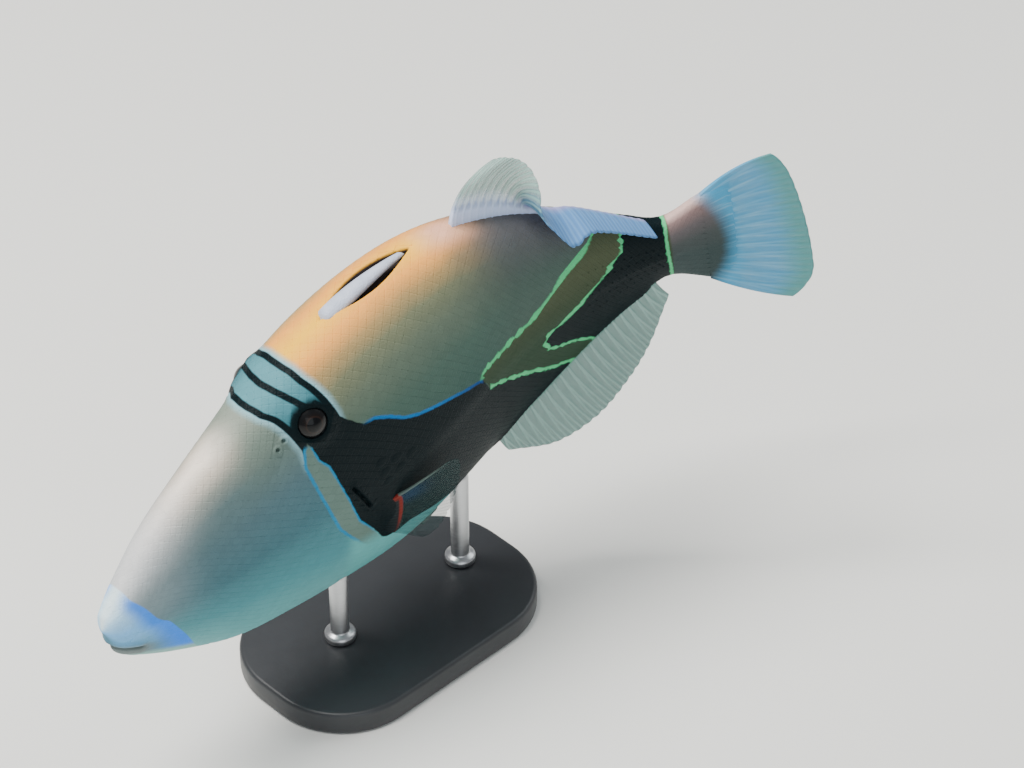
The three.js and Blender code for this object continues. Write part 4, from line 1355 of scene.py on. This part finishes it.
def gill_plates():
    """Larger bony plates behind each gill slit: low domes."""
    plates = []
    for side in (-1, 1):
        for middle, down in GILL_PLATES:
            bm = bmesh.new()
            bmesh.ops.create_icosphere(bm, subdivisions=2, radius=1)
            shape = coordinates(bm)
            x = middle + shape[:, 0] * GILL_PLATE_RADIUS * 1.15
            half_girth = np.interp(x, TABLE_X, HALF_GIRTH)
            around = side * (down + shape[:, 1] * GILL_PLATE_RADIUS / half_girth)
            lift = shape[:, 2] * GILL_PLATE_RISE
            lay(bm, surface(x, around) + facing(surface, x, around) * lift[:, None])
            plates.append((bm, x, around))
    on_skin("gill_plates", plates)


# Stand, floor, lights and camera, in metres

BASE_CORNER = 0.022
BASE_EDGE = 0.0012
# Outline of a rod's collar: radius as a share of the rod's, and height over the base
COLLAR_FORM = ((0, 0), (1.7, 0), (1.7, 0.0016), (1.45, 0.0022), (1, 0.0026))
ROD_TIP = 0.0012
WORLD_COLOUR = (0.93, 0.96, 1.0, 1)
WORLD_STRENGTH = 0.36
# Name, place, size, watts and tint of each soft light, all turned to the fish
LIGHTS = (
    ("key", (-0.3, 0.25, 1.1), 0.6, 26, (1.0, 0.98, 0.94)),
    ("fill", (-0.6, -1.0, 0.6), 0.9, 4, (0.9, 0.97, 1.0)),
    ("rear", (0.8, -0.2, 0.7), 0.5, 3, (0.95, 1.0, 1.0)),
)
LIT_AT = (0, 0, 0.08)


def stand():
    low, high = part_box("stand_base")
    size = high - low
    in_place = Matrix.Translation((low + high) / 2) @ Matrix.Diagonal((*size, 1))
    bm = bmesh.new()
    bmesh.ops.create_cube(bm, size=1, matrix=in_place)
    round_off(bm, upright(bm, size.z / 2), BASE_CORNER, 16)
    level = [edge for edge in bm.edges if abs(edge.verts[0].co.z - edge.verts[1].co.z) < 1e-6]
    rims = [edge for edge in level if any(abs(face.normal.z) > 0.5 for face in edge.link_faces)]
    round_off(bm, rims, BASE_EDGE, 4)
    piece("base_plate", bm, painted_finish(), ("stand_base",))
    steel = brushed_finish()
    for name in ("front", "rear"):
        rod(name, steel)


def round_off(bm, edges, offset, segments):
    bmesh.ops.bevel(
        bm, geom=edges, offset=offset, affect="EDGES", segments=segments, profile=0.5, material=-1
    )


def rod(name, steel):
    """A rod up to the keel, with a small collar where it stands in the base."""
    low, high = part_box(f"stand_rod_{name}")
    middle = (low + high) / 2
    radius = (high.x - low.x) / 2
    profile = [(radius * share, low.z + up) for share, up in COLLAR_FORM]
    profile += [(radius, high.z - ROD_TIP), (radius * 0.8, high.z), (0, high.z)]
    bm = bmesh.new()
    verts = [bm.verts.new((r, 0, z)) for r, z in profile]
    edges = [bm.edges.new(pair) for pair in zip(verts, verts[1:])]
    bmesh.ops.spin(
        bm, geom=verts + edges, cent=(0, 0, 0), axis=(0, 0, 1), angle=math.tau, steps=40, use_merge=True
    )
    bmesh.ops.remove_doubles(bm, verts=bm.verts, dist=1e-6)
    bmesh.ops.recalc_face_normals(bm, faces=bm.faces)
    bmesh.ops.translate(bm, verts=bm.verts, vec=(middle.x, middle.y, 0))
    made = piece(f"rod_{name}", bm, steel, (f"stand_rod_{name}",))
    bevel = made.modifiers.new("soft_edges", "BEVEL")
    bevel.width = 0.0003
    bevel.segments = 2


def studio():
    """A plain pale floor, a pale world and three soft lights."""
    bm = bmesh.new()
    bmesh.ops.create_grid(bm, x_segments=1, y_segments=1, size=2.5)
    mesh = bpy.data.meshes.new("floor")
    bm.to_mesh(mesh)
    bm.free()
    mesh.materials.append(floor_finish())
    floor = bpy.data.objects.new("floor", mesh)
    bpy.context.scene.collection.objects.link(floor)
    world = bpy.data.worlds.new("studio")
    world.use_nodes = True
    background = world.node_tree.nodes["Background"]
    background.inputs["Color"].default_value = WORLD_COLOUR
    background.inputs["Strength"].default_value = WORLD_STRENGTH
    bpy.context.scene.world = world
    for name, at, size, watts, tint in LIGHTS:
        lamp = bpy.data.lights.new(name, "AREA")
        lamp.size = size
        lamp.energy = watts
        lamp.color = tint
        shown = bpy.data.objects.new(name, lamp)
        shown.location = at
        shown.rotation_euler = (Vector(LIT_AT) - Vector(at)).to_track_quat("-Z", "Y").to_euler()
        bpy.context.scene.collection.objects.link(shown)


# Where the photo was taken from, beside the straight fish, and which way it looked
CAMERA_AT = np.array((-241.66, -508.38, 642.35))
CAMERA_AZIMUTH = math.radians(-44.41)
CAMERA_ELEVATION = math.radians(38.64)
# The camera's focal length and the photo's width, both in the photo's pixels
FOCAL_PIXELS = 3500
PHOTO_WIDTH = 1024
SENSOR = 36
CAMERA_SHIFT = -0.048


def camera():
    lens = bpy.data.cameras.new("camera")
    lens.sensor_width = SENSOR
    lens.lens = SENSOR * FOCAL_PIXELS / PHOTO_WIDTH
    lens.shift_y = CAMERA_SHIFT
    made = bpy.data.objects.new("camera", lens)
    made.location = (tilt(CAMERA_AT) + HANGS_AT) * MM
    level = math.cos(CAMERA_ELEVATION)
    back = (math.sin(CAMERA_AZIMUTH) * level, -math.cos(CAMERA_AZIMUTH) * level, math.sin(CAMERA_ELEVATION))
    made.rotation_euler = Vector(back).to_track_quat("Z", "Y").to_euler()
    bpy.context.scene.collection.objects.link(made)
    bpy.context.scene.camera = made


camera()
studio()
skin()
scales()
fins()
eyes()
trigger_spines()
pelvic_tip()
tail_hooks()
gill_plates()
stand()
